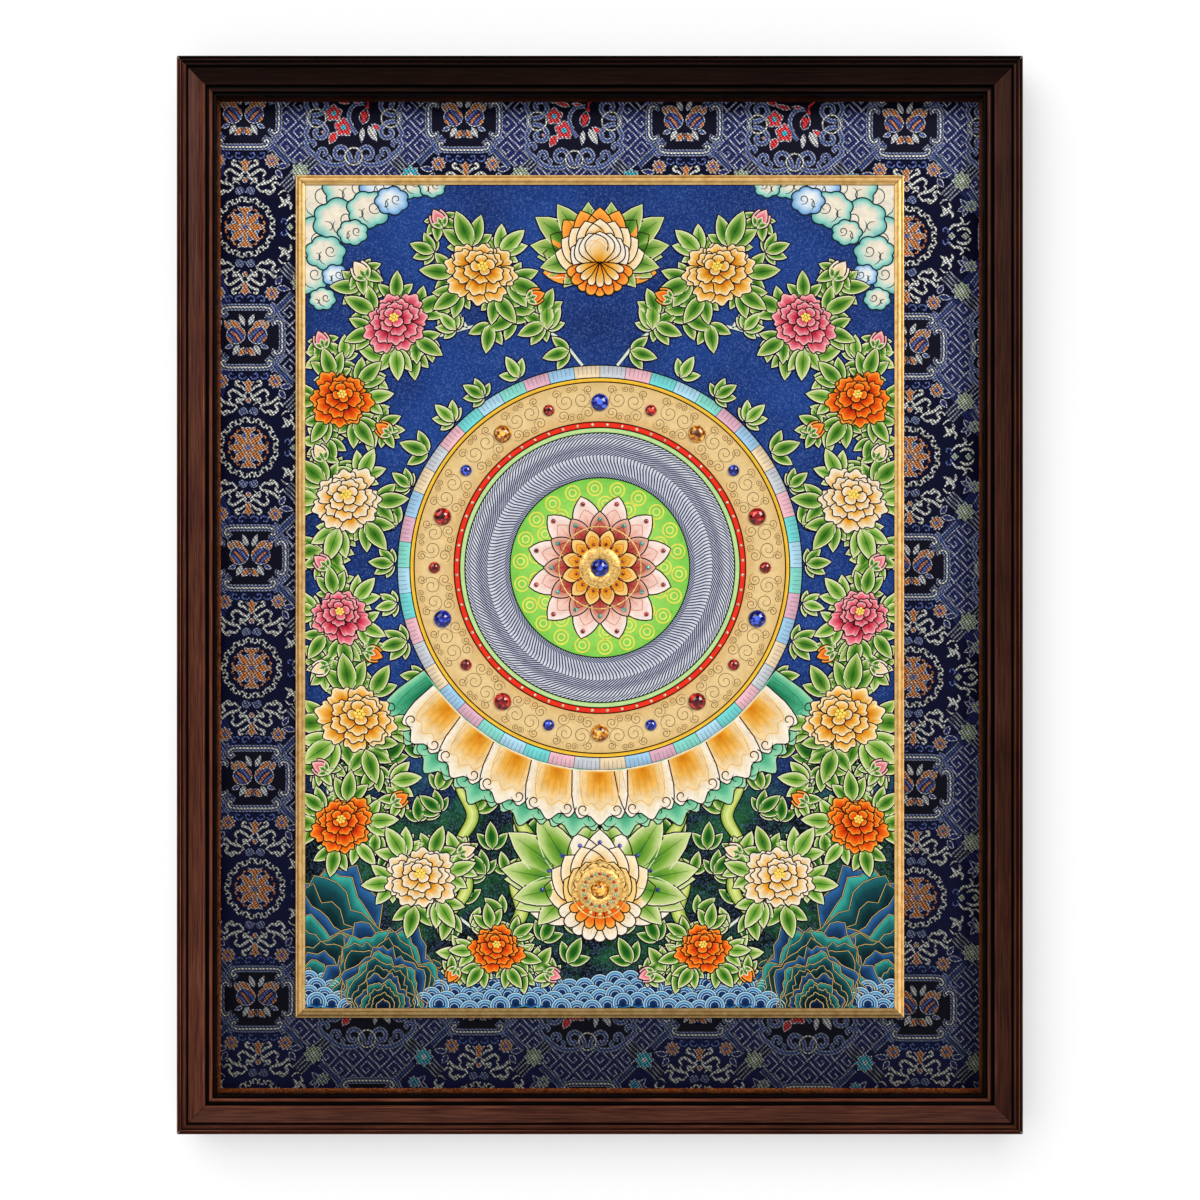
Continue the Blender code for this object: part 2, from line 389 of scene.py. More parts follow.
@dataclass(frozen=True)
class FiguredThread:
    """Rayon and metallic-white weft: the brocade's figure, floated over the ground.

    The eye gets coloured lines broken into slanting stitches, with painted shade that darkens them lower
    down.
    Their pitch is drawn at 1.5 mm, coarser than the real 0.5 mm, because a finer one can't show.
    """

    pitch: float = 1.5  # mm
    slants: tuple[float, float] = (-52.0, 31.0)  # degrees
    top: tuple[float, float] = (-0.03, 1.0)  # m, how bright the thread is painted at that height, as painted light and shade
    foot: tuple[float, float] = (-0.70, 0.24)

    def build(self) -> bpy.types.Material:
        """Makes the material.

        Returns:
            The material.
        """
        material, add, where = new_material("floated_weft", Roughness=0.5, Specular_IOR_Level=0.06)
        thread = add("Attribute", attribute_name=THREAD)
        rows = []
        for slant, pitch in zip(self.slants, (self.pitch, self.pitch * 1.4)):
            slanted = add("Mapping", {"Rotation": (0.0, math.radians(slant), 0.0), "Vector": where})
            size = {"Scale": band_scale(pitch), "Distortion": 0.9, "Detail": 1.0, "Vector": slanted}
            rows.append(add("TexWave", size, out="Fac"))
        twill = add("Math", {0: rows[0], 1: rows[1]}, operation="MULTIPLY")
        fuzz = add("TexNoise", {"Scale": noise_scale(1.1), "Detail": 2.0, "Vector": where})
        tone = add("Math", {0: fuzz, 1: 0.8, 2: twill}, operation="MULTIPLY_ADD")
        limits = {"From Min": 0.32, "From Max": 1.12, "To Min": 0.10, "To Max": 1.56}
        dim = add("MapRange", {**limits, "Value": tone})
        # Painted shade: the thread is painted darker towards the bottom
        (low, dull), (high, bright) = self.foot, self.top
        height = add("SeparateXYZ", {0: where}, out="Z")
        limits = {"From Min": low, "From Max": high, "To Min": dull, "To Max": bright}
        painted_height_shade = add("MapRange", {**limits, "Value": height})
        shade = add("Math", {0: dim, 1: painted_height_shade}, operation="MULTIPLY")
        colour = add("VectorMath", {0: thread, "Scale": shade}, operation="SCALE")
        bump = add("Bump", {"Strength": 0.6, "Distance": 0.15 * MM, "Height": tone})
        wire(material, Base_Color=colour, Normal=bump)
        return material


@dataclass(frozen=True)
class MineralGround:
    """Ground azurite and malachite in hide glue, brushed on cotton canvas.

    The eye gets a granular cobalt blue that passes to dark green below, with grains that catch light.
    """

    blue: tuple[str, str] = ("#0f265c", "#173778")
    green: tuple[str, str] = ("#030b06", "#164c1c")
    grain: str = "#86a4e4"
    turn: tuple[float, float] = (-0.520, -0.440)  # m, where the green is full and where it starts

    def build(self) -> bpy.types.Material:
        """Makes the material.

        Returns:
            The material.
        """
        name = "mineral_pigment_ground"
        material, add, where = new_material(name, Roughness=0.62, Specular_IOR_Level=0.04)
        wash = add("TexNoise", {"Scale": noise_scale(70), "Detail": 3.0, "Vector": where})
        size = {"Scale": noise_scale(22), "Detail": 3.0, "Roughness": 0.6, "Vector": where}
        patch = add("TexNoise", size)
        blue = add("ValToRGB", {"Fac": wash}, stops=zip((0.3, 0.62), self.blue))
        green = add("ValToRGB", {"Fac": patch}, stops=zip((0.42, 0.66), self.green))
        height = add("SeparateXYZ", {0: where}, out="Z")
        limits = {"From Min": self.turn[0], "From Max": self.turn[1], "Value": height}
        turn = add("MapRange", limits, interpolation_type="SMOOTHSTEP")
        ground = add("Mix", {0: turn, 6: green, 7: blue}, out=2, data_type="RGBA")
        size = {"Scale": noise_scale(1.1), "Detail": 2.0, "Roughness": 0.7, "Vector": where}
        grains = add("TexNoise", size)
        glints = {"From Min": 0.50, "From Max": 0.74, "To Max": 0.24, "Value": grains}
        sparkle = add("MapRange", glints)
        colour = add("Mix", {0: sparkle, 6: ground, 7: rgba(self.grain)}, out=2, data_type="RGBA")
        bump = add("Bump", {"Strength": 0.6, "Distance": 0.2 * MM, "Height": grains})
        wire(material, Base_Color=colour, Normal=bump)
        return material


@dataclass(frozen=True)
class BodyPaint:
    """Gouache-like mineral paint in hide glue, shaded wet and lined with a fine brush.

    The eye gets a matt, slightly uneven colour over canvas weave. The weave is drawn at 0.9 mm, coarser
    than the real 0.5 mm, because a finer one can't show.
    """

    weave: float = 0.9  # mm
    uneven: float = 0.14
    depth: float = 0.87  # how much light the glue and the size leave of the colour

    def build(self) -> bpy.types.Material:
        """Makes the material.

        Returns:
            The material.
        """
        material, add, where = new_material("mineral_body_paint", Roughness=0.6, Specular_IOR_Level=0.04)
        paint = add("Attribute", attribute_name=THREAD)
        size = {"Scale": noise_scale(6), "Detail": 4.0, "Roughness": 0.7, "Vector": where}
        wash = add("TexNoise", size)
        low, high = self.depth - self.uneven, self.depth + self.uneven / 2
        spread = {"From Min": 0.3, "From Max": 0.7, "To Min": low, "To Max": high, "Value": wash}
        dim = add("MapRange", spread)
        colour = add("VectorMath", {0: paint, "Scale": dim}, operation="SCALE")
        cells = add("TexNoise", {"Scale": noise_scale(self.weave), "Detail": 1.0, "Vector": where})
        bump = add("Bump", {"Strength": 0.35, "Distance": 0.1 * MM, "Height": cells})
        wire(material, Base_Color=colour, Normal=bump)
        return material


@dataclass(frozen=True)
class RaisedGold:
    """Gold paste: brass powder in lacquer, piped in raised lines.

    The eye gets thin warm lines that glint where they turn to the light.
    """

    gold: tuple[str, str] = ("#b98538", "#e9c374")

    def build(self) -> bpy.types.Material:
        """Makes the material.

        Returns:
            The material.
        """
        material, add, where = new_material("piped_gold_paste", Metallic=0.55, Roughness=0.38)
        grains = add("TexNoise", {"Scale": noise_scale(1.5), "Detail": 3.0, "Vector": where})
        colour = add("ValToRGB", {"Fac": grains}, stops=zip((0.35, 0.60), self.gold))
        bump = add("Bump", {"Strength": 0.4, "Distance": 0.1 * MM, "Height": grains})
        wire(material, Base_Color=colour, Normal=bump)
        return material


@dataclass(frozen=True)
class FoiledStone:
    """Acrylic stone: moulded with facets and backed with foil.

    The eye gets a saturated colour that changes from facet to facet as painted reflections, under a hard
    gloss.
    """

    name: str
    tints: tuple[str, str, str]

    def build(self) -> bpy.types.Material:
        """Makes the material.

        Returns:
            The material.
        """
        gloss = {"Roughness": 0.08, "IOR": 1.49, "Specular_IOR_Level": 0.4}
        coat = {"Coat_Weight": 0.4, "Coat_Roughness": 0.03}
        material, add, where = new_material(f"foil_backed_acrylic_painted_reflections_{self.name}", **gloss, **coat)
        facet = add("NewGeometry", out="True Normal")
        # Painted reflections: the facet's own direction and the stone's own place choose a dark, mid or
        # bright tone, in place of the foil back's reflections
        spot = add("VectorMath", {0: where, 1: (90.0, 90.0, 90.0)}, operation="MULTIPLY")
        sources = {0: facet, 1: (2.3, 2.3, 2.3), 2: spot}
        painted_reflection_pick = add("VectorMath", sources, operation="MULTIPLY_ADD")
        tone = add("TexNoise", {"Scale": 1.0, "Detail": 1.0, "Vector": painted_reflection_pick})
        colour = add("ValToRGB", {"Fac": tone}, stops=zip((0.36, 0.54, 0.66), self.tints))
        wire(material, Base_Color=colour)
        return material


@dataclass(frozen=True)
class RawFibreboard:
    """Hardboard: wet-pressed wood fibre, left raw.

    The eye gets a flat brown with short pale fibres.
    """

    browns: tuple[str, str] = ("#7b5a3a", "#a98560")
    fibre: tuple[float, float, float] = (7.0, 7.0, 1.2)  # mm

    def build(self) -> bpy.types.Material:
        """Makes the material.

        Returns:
            The material.
        """
        material, add, where = new_material("pressed_hardboard", Roughness=0.8)
        along = add("Mapping", {"Scale": tuple(map(noise_scale, self.fibre)), "Vector": where})
        size = {"Scale": 1.0, "Detail": 5.0, "Distortion": 0.8, "Vector": along}
        fibres = add("TexNoise", size)
        colour = add("ValToRGB", {"Fac": fibres}, stops=zip((0.35, 0.68), self.browns))
        bump = add("Bump", {"Strength": 0.4, "Distance": 0.2 * MM, "Height": fibres})
        wire(material, Base_Color=colour, Normal=bump)
        return material


# ---------------------------------------------------------------- drawing on a sheet


def turned(points: Places, angle: float) -> np.ndarray:
    """The 2-D points turned anticlockwise about the origin by that angle in degrees."""
    c, s = math.cos(math.radians(angle)), math.sin(math.radians(angle))
    return np.asarray(points, float) @ np.array([[c, s], [-s, c]])


def ways(angles: float | np.ndarray) -> np.ndarray:
    """The directions of those angles in degrees, each of length 1."""
    return np.stack([np.cos(np.radians(angles)), np.sin(np.radians(angles))], axis=-1)


def ring_points(radius: float, count: int, start: float = 0.0) -> np.ndarray:
    """That many points round a circle, anticlockwise from the start angle in degrees."""
    return ways(start + np.arange(count) * 360 / count) * radius


def smooth(controls: Places, steps: int = 6) -> np.ndarray:
    """A smooth path through the control points.

    Args:
        controls: The points that the path goes through.
        steps: How many points there are for each stretch between controls.

    Returns:
        The path's points.
    """
    fixed = np.asarray(controls, float)
    padded = np.vstack([2 * fixed[0] - fixed[1], fixed, 2 * fixed[-1] - fixed[-2]])
    share = np.linspace(0, 1, steps, endpoint=False)[:, None]
    path = []
    for before, here, there, after in zip(padded, padded[1:], padded[2:], padded[3:]):
        square = (2 * before - 5 * here + 4 * there - after) * share**2
        cube = (3 * here - before - 3 * there + after) * share**3
        path.append(0.5 * (2 * here + (there - before) * share + square + cube))
    return np.vstack([*path, fixed[-1:]])


def curl(middle: Spot, radius: float, start: float, sweep: float, end: float = 0.2) -> np.ndarray:
    """A spiral that winds inwards.

    Args:
        middle: The spiral's centre.
        radius: Its outer radius.
        start: The angle of its outer end, in degrees.
        sweep: How far it turns, in degrees, anticlockwise if positive.
        end: The share of the radius that is left at its inner end.

    Returns:
        The spiral's points.
    """
    step = 22  # degrees, from one point to the next
    share = np.linspace(0, 1, max(6, int(abs(sweep) / step)))
    radii = radius * (1 + (end - 1) * share)
    return ways(start + sweep * share) * radii[:, None] + middle


def pointed(
    length: float, width: float, fullness: float = 0.8, steps: int = 11, taper: float = 0.8
) -> np.ndarray:
    """The outline of a pointed petal or leaf that grows along +x from the origin.

    Args:
        length: Its length.
        width: Its width.
        fullness: Where it is widest, nearer its root if under 1.
        steps: How many points each of its sides has.
        taper: How its ends narrow, more bluntly if under 1.

    Returns:
        The outline's points.
    """
    share = np.linspace(0, 1, steps)
    half = width / 2 * np.sin(math.pi * share**fullness) ** taper
    side = np.column_stack([share * length, half])
    return np.vstack([side, (side * (1, -1))[-2:0:-1]])


def outer_first(count: int) -> list[int]:
    """The numbers of a fan's petals, from its two ends to its middle."""
    return sorted(range(count), key=lambda k: -abs(k - (count - 1) / 2))


@dataclass(frozen=True)
class Pen:
    """A drawn or woven line: its colour, its width and how far its middle stands up, in millimetres.

    A line that doesn't stand up is a flat stroke. Colours across it, if there are any, replace the one.
    """

    colour: str
    width: float
    rise: float = 0.0
    across: tuple[str, ...] = ()


@dataclass
class Figure:
    """Low raised shapes on a flat sheet, gathered for one mesh.

    Heights are in millimetres above the sheet's face. Shapes are cut off at the sheet's visible edges.
    """

    face: float  # m, the sheet's face, as a distance from the wall
    middle: float  # m, the height of the sheet's middle
    reach: tuple[float, float]  # mm, half the width and height that shapes may cover
    hidden: tuple[float, float] | None = None  # mm, half the width and height of what covers the middle
    smallest: float = 2e-4  # square mm, twice the area of the smallest face that is kept
    flip: int = 1  # -1 draws the mirror image
    points: list[np.ndarray] = field(default_factory=list)
    colours: list[np.ndarray] = field(default_factory=list)
    triangles: list[np.ndarray] = field(default_factory=list)
    quads: list[np.ndarray] = field(default_factory=list)
    count: int = 0

    def _add(self, flat: np.ndarray, heights: np.ndarray, colours: np.ndarray) -> int:
        """Adds points.

        Args:
            flat: Their places on the sheet.
            heights: The height of each.
            colours: The linear colour of each.

        Returns:
            The number of the first one.
        """
        first = self.count
        self.points.append(np.column_stack([flat[:, 0] * self.flip, heights, flat[:, 1]]))
        self.colours.append(np.broadcast_to(colours, (len(flat), 3)))
        self.count += len(flat)
        return first

    def grid(
        self, flat: np.ndarray, heights: np.ndarray | float, colours: np.ndarray, closed: bool = False
    ) -> int:
        """Adds a grid of quads.

        Args:
            flat: Rows by columns of 2-D points.
            heights: The height of each.
            colours: The linear colour of each.
            closed: Whether the last column joins the first.

        Returns:
            The number of the grid's first point.
        """
        rows, columns = flat.shape[:2]
        first = self._add(
            flat.reshape(-1, 2),
            np.broadcast_to(heights, (rows, columns)).reshape(-1),
            np.broadcast_to(colours, (rows, columns, 3)).reshape(-1, 3),
        )
        last = columns if closed else columns - 1
        i, j = np.meshgrid(np.arange(rows - 1), np.arange(last), indexing="ij")
        k = (j + 1) % columns
        corners = [i * columns + j, i * columns + k, (i + 1) * columns + k, (i + 1) * columns + j]
        self.quads.append(first + np.stack(corners, axis=-1).reshape(-1, 4))
        return first

    def patch(
        self,
        outline: np.ndarray,
        ramp: Ramp | str,
        height: float,
        dome: float = 0.0,
        root: Spot | None = None,
        rings: int = 3,
    ) -> None:
        """Adds a filled shape, shaded from its root to its rim.

        Args:
            outline: The closed outline, all of it in plain sight of the root.
            ramp: Colours from the root to the rim, or one colour.
            height: The rim's height.
            dome: How much higher the middle is.
            root: Where the shading starts, or the outline's middle.
            rings: How many rings of points there are.
        """
        outline = np.asarray(outline, float)
        start = outline.mean(axis=0) if root is None else np.asarray(root, float)
        ramp = [(0.0, ramp), (1.0, ramp)] if isinstance(ramp, str) else ramp
        shares = np.linspace(0, 1, rings + 1)[1:]
        flat = start + (outline - start)[None] * shares[:, None, None]
        colours = ramp_colours(ramp, shares)[:, None, :]
        heights = (height + dome * (1 - shares**2))[:, None]
        first = self.grid(flat, heights, colours, closed=True)
        tip = self._add(start[None], np.array([height + dome]), ramp_colours(ramp, np.array([0.0])))
        around = np.arange(len(outline))
        corners = [np.full(len(outline), tip), first + around, first + (around + 1) % len(outline)]
        self.triangles.append(np.stack(corners, axis=-1))

    def line(
        self, path: np.ndarray, pen: Pen, height: float, taper: float = 1.0, closed: bool = False
    ) -> None:
        """Adds a raised line.

        Args:
            path: Its points.
            pen: Its colour, width and rise.
            height: The height of its foot.
            taper: The share of its width that is left at its ends.
            closed: Whether it is a loop.
        """
        path = np.asarray(path, float)
        if closed:
            ahead, behind = np.roll(path, -1, axis=0), np.roll(path, 1, axis=0)
        else:
            ahead, behind = np.vstack([path[1:], path[-1:]]), np.vstack([path[:1], path[:-1]])
        way = ahead - behind
        way /= np.maximum(np.linalg.norm(way, axis=1, keepdims=True), 1e-9)
        side = np.column_stack([-way[:, 1], way[:, 0]]) * pen.width / 2
        if taper < 1 and not closed:
            share = np.linspace(0, 1, len(path))
            side *= (taper + (1 - taper) * np.sin(math.pi * share) ** 0.6)[:, None]
        tints = pen.across or (pen.colour,) * (3 if pen.rise else 2)
        columns = np.linspace(-1, 1, len(tints))[:, None]
        flat = path[None] + side[None] * columns[:, :, None]
        colours = np.array([linear(tint) for tint in tints])
        self.grid(flat, height + pen.rise * (1 - columns**2), colours[:, None, :], closed=closed)

    def band(self, inner: float, outer: float, middle: Spot, colours: Ramp, height: float) -> None:
        """Adds a flat ring, shaded from its inner to its outer edge.

        Args:
            inner: Its inner radius.
            outer: Its outer radius.
            middle: Its centre.
            colours: Its colours from the inner to the outer edge.
            height: Its height.
        """
        rows = np.linspace(0, 1, 4)
        radii = inner + (outer - inner) * rows
        flat = ring_points(1.0, 144)[None] * radii[:, None, None] + middle
        self.grid(flat, height, ramp_colours(colours, rows)[:, None, :], closed=True)

    def mesh(self, name: str, part: int = 0) -> bpy.types.Mesh:
        """Makes the mesh, cut off at the sheet's visible edges, with its colours and a flat UV map.

        Args:
            name: Its name.
            part: 1 for the upper half only, -1 for the lower half only, or 0 for all of it.

        Returns:
            The mesh.
        """
        points = np.vstack(self.points)
        colours = np.vstack(self.colours)
        wide, tall = self.reach
        points[:, 0] = np.clip(points[:, 0], -wide, wide)
        points[:, 2] = np.clip(points[:, 2], -tall, tall)
        kept = []
        for faces in (self.triangles, self.quads):
            faces = np.vstack(faces) if faces else np.zeros((0, 3), int)
            corners = points[faces][:, :, [0, 2]]
            one, other = corners[:, 2] - corners[:, 0], corners[:, -1] - corners[:, 1]
            area = one[:, 0] * other[:, 1] - one[:, 1] * other[:, 0]
            # A face that starts on the seam belongs to the upper half
            half = part * corners[:, 0, 1] >= (0 if part >= 0 else 1e-9)
            seen = (np.abs(area) > self.smallest) & half
            if self.hidden:
                centre = np.abs(corners.mean(axis=1))
                seen &= (centre[:, 0] > self.hidden[0]) | (centre[:, 1] > self.hidden[1])
            # With x to the right and z up, a face that turns clockwise faces the wall
            faces[area < 0] = faces[area < 0][:, ::-1]
            kept.append(faces[seen])
        used = np.unique(np.concatenate([faces.reshape(-1) for faces in kept]))
        renumbered = np.zeros(len(points), int)
        renumbered[used] = np.arange(len(used))
        points, colours = points[used], colours[used]
        triangles, quads = (renumbered[faces] for faces in kept)
        mesh = bpy.data.meshes.new(name)
        outwards, upwards = self.face + points[:, 1] * MM, self.middle + points[:, 2] * MM
        places = np.column_stack([points[:, 0] * MM, -outwards, upwards])
        mesh.from_pydata(places.tolist(), [], triangles.tolist() + quads.tolist())
        mesh.polygons.foreach_set("use_smooth", np.ones(len(mesh.polygons), bool))
        shade = mesh.color_attributes.new(THREAD, "FLOAT_COLOR", "POINT")
        shade.data.foreach_set("color", np.column_stack([colours, np.ones(len(colours))]).ravel())
        layer = mesh.uv_layers.new(name=PLANAR_UV)
        loops = np.concatenate([triangles.ravel(), quads.ravel()])
        flat = points[loops][:, [0, 2]] / (2 * np.array([wide, tall])) + 0.5
        layer.data.foreach_set("uv", flat.ravel())
        return mesh


def add_object(name: str, data: bpy.types.ID) -> bpy.types.Object:
    """Adds an object to the scene.

    Args:
        name: Its name.
        data: Its mesh, lamp or camera.

    Returns:
        The object.
    """
    made = bpy.data.objects.new(name, data)
    bpy.context.scene.collection.objects.link(made)
    return made


def place(mesh: bpy.types.Mesh, name: str, material: bpy.types.Material, slot: str) -> bpy.types.Object:
    """Makes an object that rides on the picture.

    Args:
        mesh: Its mesh, in the frame's own place.
        name: Its name.
        material: Its material.
        slot: The record's material slot that it belongs to; not used.

    Returns:
        The object.
    """
    mesh.materials.append(material)
    made = add_object(name, mesh)
    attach(made, BODY)
    log.info("%s: %d faces", name, len(mesh.polygons))
    return made


def slab(
    name: str, low: Vector, high: Vector, cell: float, unevenness: Callable[[float, float], float]
) -> bpy.types.Mesh:
    """A thin upright sheet with a finely divided, slightly uneven face.

    Args:
        name: The mesh's name.
        low: Its lowest corner, in metres.
        high: Its highest corner, in metres.
        cell: The size of the face's cells, in metres.
        unevenness: How far the face stands out at a place (x, z), in metres.

    Returns:
        The closed mesh, its face towards -Y.
    """
    columns = int((high.x - low.x) / cell) + 1
    rows = int((high.z - low.z) / cell) + 1
    xs, zs = np.linspace(low.x, high.x, columns), np.linspace(low.z, high.z, rows)
    front = [(x, low.y - unevenness(x, z), z) for z in zs for x in xs]
    back = [(x, high.y, z) for z in zs for x in xs]
    net = np.arange(rows * columns).reshape(rows, columns)
    squares = np.stack([net[:-1, :-1], net[:-1, 1:], net[1:, 1:], net[1:, :-1]], axis=-1).reshape(-1, 4)
    both = np.stack([squares, net.size + squares[:, ::-1]], axis=1).reshape(-1, 4)
    edge = np.concatenate([net[0], net[1:, -1], net[-1, -2::-1], net[-2:0:-1, 0]])
    after = np.roll(edge, -1)
    sides = np.stack([after, edge, net.size + edge, net.size + after], axis=-1)
    mesh = bpy.data.meshes.new(name)
    mesh.from_pydata(front + back, [], np.vstack([both, sides]).tolist())
    mesh.polygons.foreach_set("use_smooth", np.ones(len(mesh.polygons), bool))
    mesh.update()
    return mesh


# ---------------------------------------------------------------- the frame


@dataclass(frozen=True)
class Mouldings:
    """The frame's moulding, its spacers, the gilt fillet and the backing board."""

    def dress(self, nodes: dict[str, bpy.types.Object]) -> None:
        """Gives each solid its finish.

        Args:
            nodes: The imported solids, by name.
        """
        for side in Side:
            name = side.name.lower()
            axis, sign = side.value[:2]
            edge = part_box(f"rail_{name}")[1 if sign > 0 else 0][axis]
            nodes[f"rail_{name}"].data.materials[0] = StainedMoulding(side, edge).build()
            nodes[f"spacer_{name}"].data.materials[0] = FleckedSpacer(side).build()
            nodes[f"fillet_{name}"].data.materials[0] = GiltFillet(side).build()
        nodes["backing_board"].data.materials[0] = RawFibreboard().build()
        log.info("moulding, spacers, fillet and board: dressed")


# ---------------------------------------------------------------- the brocade


EDGE, BLUE, INK = "#9ca4b8", "#3f5294", "#0a0922"
SILVER = Pen("#d6d6ce", 1.45, 0.1, (INK, "#d6d6ce", "#d6d6ce", INK))
HEAVY = Pen("#dcdcd4", 2.3, 0.12, (INK, "#dcdcd4", "#d0d2ce", "#dcdcd4", INK))
FINE = Pen("#b8bcc6", 0.7)
CORD = Pen("#5a6cac", 1.5, 0.08, (INK, "#5a6cac", "#5a6cac", INK))
COPPER = Pen("#cc8048", 1.5, 0.12)
RED = Pen("#dc3a3c", 1.4, 0.12)
TEAL = Pen("#38aec4", 1.3, 0.12)
SAGE = Pen("#9cae8c", 1.3, 0.12)
WHITE = Pen("#ccccc4", 1.0, 0.10)
DARK_LEAF = Pen("#2a3070", 1.0)
FRETWORK = Pen("#b8bcc8", 1.75, 0.05, ("#2a3170", "#bcc0ca", "#2a3170"))

# Mirror images about a motif's middle
Flips = Sequence[tuple[int, int]]
PLAIN: Flips = ((1, 1),)
SIDEWAYS: Flips = ((1, 1), (-1, 1))
ALL_ROUND: Flips = ((1, 1), (-1, 1), (1, -1), (-1, -1))


@dataclass
class Brocade:
    """A navy brocade with roundels, cartouches and lozenges of key fret, repeated on a slightly skewed net.

    Its motifs are drawn in the photograph's pixels about a place of the net, x right and z up. Their
    widths and heights are in millimetres.
    """

    node: str = "brocade"
    pixel: float = 0.695  # mm, one pixel of the photograph at the cloth
    roundel: tuple[float, float] = (-246.0, 255.2)  # mm, one roundel's middle
    across: tuple[float, float] = (152.9, -2.1)  # mm, from one roundel to the next
    upwards: tuple[float, float] = (-2.3, 152.9)
    fret_pitch: float = 3.3  # mm between the fret's lines
    cell: float = 12 * MM
    covered: tuple[float, float] = (207.0, 288.0)  # mm, half the size of what the canvas and fillet hide
    figure: Figure = field(init=False)
    origin: np.ndarray = field(init=False)
    low: Vector = field(init=False)
    high: Vector = field(init=False)

    def __post_init__(self) -> None:
        """Reads the solid's box."""
        self.low, self.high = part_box(self.node)
        self.origin = np.zeros(2)
        half = (self.high - self.low) / (2 * MM)
        middle, reach = (self.low.z + self.high.z) / 2, (half.x - 0.5, half.z - 0.5)
        self.figure = Figure(-self.low.y, middle, reach, self.covered)

    def unevenness(self, x: float, z: float) -> float:
        """How far the pasted silk stands out, in metres: long soft waves of under 0.1 mm."""
        return (0.03 * math.sin(x * 61 + z * 13) + 0.03 * math.sin(z * 47 - x * 19) - 0.06) * MM

    def at(self, points: np.ndarray) -> np.ndarray:
        """Turns pixel offsets from the current place to millimetres on the sheet."""
        return self.origin + np.asarray(points, float) * self.pixel

    def stroke(
        self,
        points: Places,
        pen: Pen,
        height: float = 0.24,
        flips: Flips = PLAIN,
        taper: float = 1.0,
        closed: bool = False,
    ) -> None:
        """Weaves one line and its mirror images."""
        for flip in flips:
            self.figure.line(self.at(np.asarray(points, float) * flip), pen, height, taper, closed)

    def curves(
        self, routes: Iterable[Places], pen: Pen, flips: Flips, height: float = 0.26, taper: float = 0.4
    ) -> None:
        """Weaves smooth lines through those places, and their mirror images."""
        for route in routes:
            self.stroke(smooth(route, 3), pen, height, flips, taper)

    def bands(self, routes: Iterable[Places], width: float, flips: Flips, height: float = 0.26) -> None:
        """Weaves blue bands with silver edges, their width in pixels."""
        pen = Pen(BLUE, width * self.pixel + 1.3, 0.09, (INK, EDGE, BLUE, BLUE, EDGE, INK))
        self.curves(routes, pen, flips, height, 1.0)

    def blob(
        self, outline: Places, pen: Pen, height: float = 0.26, edge: Pen | None = FINE, flips: Flips = PLAIN
    ) -> None:
        """Weaves a filled shape and its mirror images.

        Args:
            outline: The shape's outline.
            pen: Its colour, and how far its middle stands up.
            height: Its level.
            edge: The line round it, or none.
            flips: The mirror images that are woven.
        """
        for flip in flips:
            loop = self.at(np.asarray(outline, float) * flip)
            self.figure.patch(loop, pen.colour, height, pen.rise, rings=1)
        if edge:
            self.stroke(outline, edge, height + 0.06, flips, closed=True)

    def leaf(self, base: Spot, angle: float, length: float, width: float) -> np.ndarray:
        """The outline of a pointed leaf from its base, in pixels."""
        return turned(pointed(length, width, 0.8, 6, 1.0), angle) + base

    def blossom(self, middle: Spot, radius: float, petals: int, pen: Pen, heart: Pen) -> None:
        """Weaves a small round blossom.

        Args:
            middle: Its centre.
            radius: Its radius.
            petals: How many petals it has.
            pen: Their colour.
            heart: The colour of its middle.
        """
        for k in range(petals):
            self.blob(self.leaf(middle, k * 360 / petals + 90, radius, radius * 5.4 / petals), pen)
        self.blob(ring_points(radius * 0.3, 8) + middle, heart, 0.40, None)

    def roundel_motif(self) -> None:
        """A chain of small hooks round an eight-petalled rosette, with scrolls above and below."""
        hooks = 26
        for k in range(hooks):
            angle = 360 * k / hooks
            opening = angle + (180 if k % 2 else 0)
            self.stroke(curl(ways(angle) * 27.6, 3.0, opening + 36, 288, 0.76), SILVER)
        foot = np.array([(3, 2.2), (14.5, 2.4), (17.5, 6.6), (20.6, 7.4), (19.2, 3.0), (20.2, 0)], float)
        foot = np.vstack([foot, (foot * (1, -1))[-2::-1]])
        wedge = ((7.2, 0.6), (13.5, 3.3), (14.4, 0.0), (13.5, -3.3), (7.2, -0.6))
        barb = np.array([(14.5, 1.4), (18.2, 2.0), (19.6, 4.6), (17.8, 5.8)])
        for k in range(8):
            angle = 45 * k
            if k in (2, 6):
                self.blob(turned(foot, angle), COPPER, 0.30)
            else:
                self.blob(self.leaf(ways(angle) * 3, angle, 17, 7.6), COPPER, 0.30)
                for side in (1, -1):
                    hook = turned(barb * (1, side), angle)
                    self.curves([hook], Pen(COPPER.colour, 1.1), PLAIN, 0.28, 0.7)
            self.blob(turned(wedge, angle + 22.5), Pen(BLUE, 1.9, 0.1), 0.2)
            self.blob(ring_points(1.2, 4) + ways(angle + 22.5) * 5.8, SILVER, 0.44, None)
        self.blob(ring_points(3.4, 10), COPPER, 0.36, None)
        self.blob(ring_points(2.5, 8), CORD, 0.5, None)
        for up in (1, -1):
            self.scrolls(up)
        self.side_scrolls()

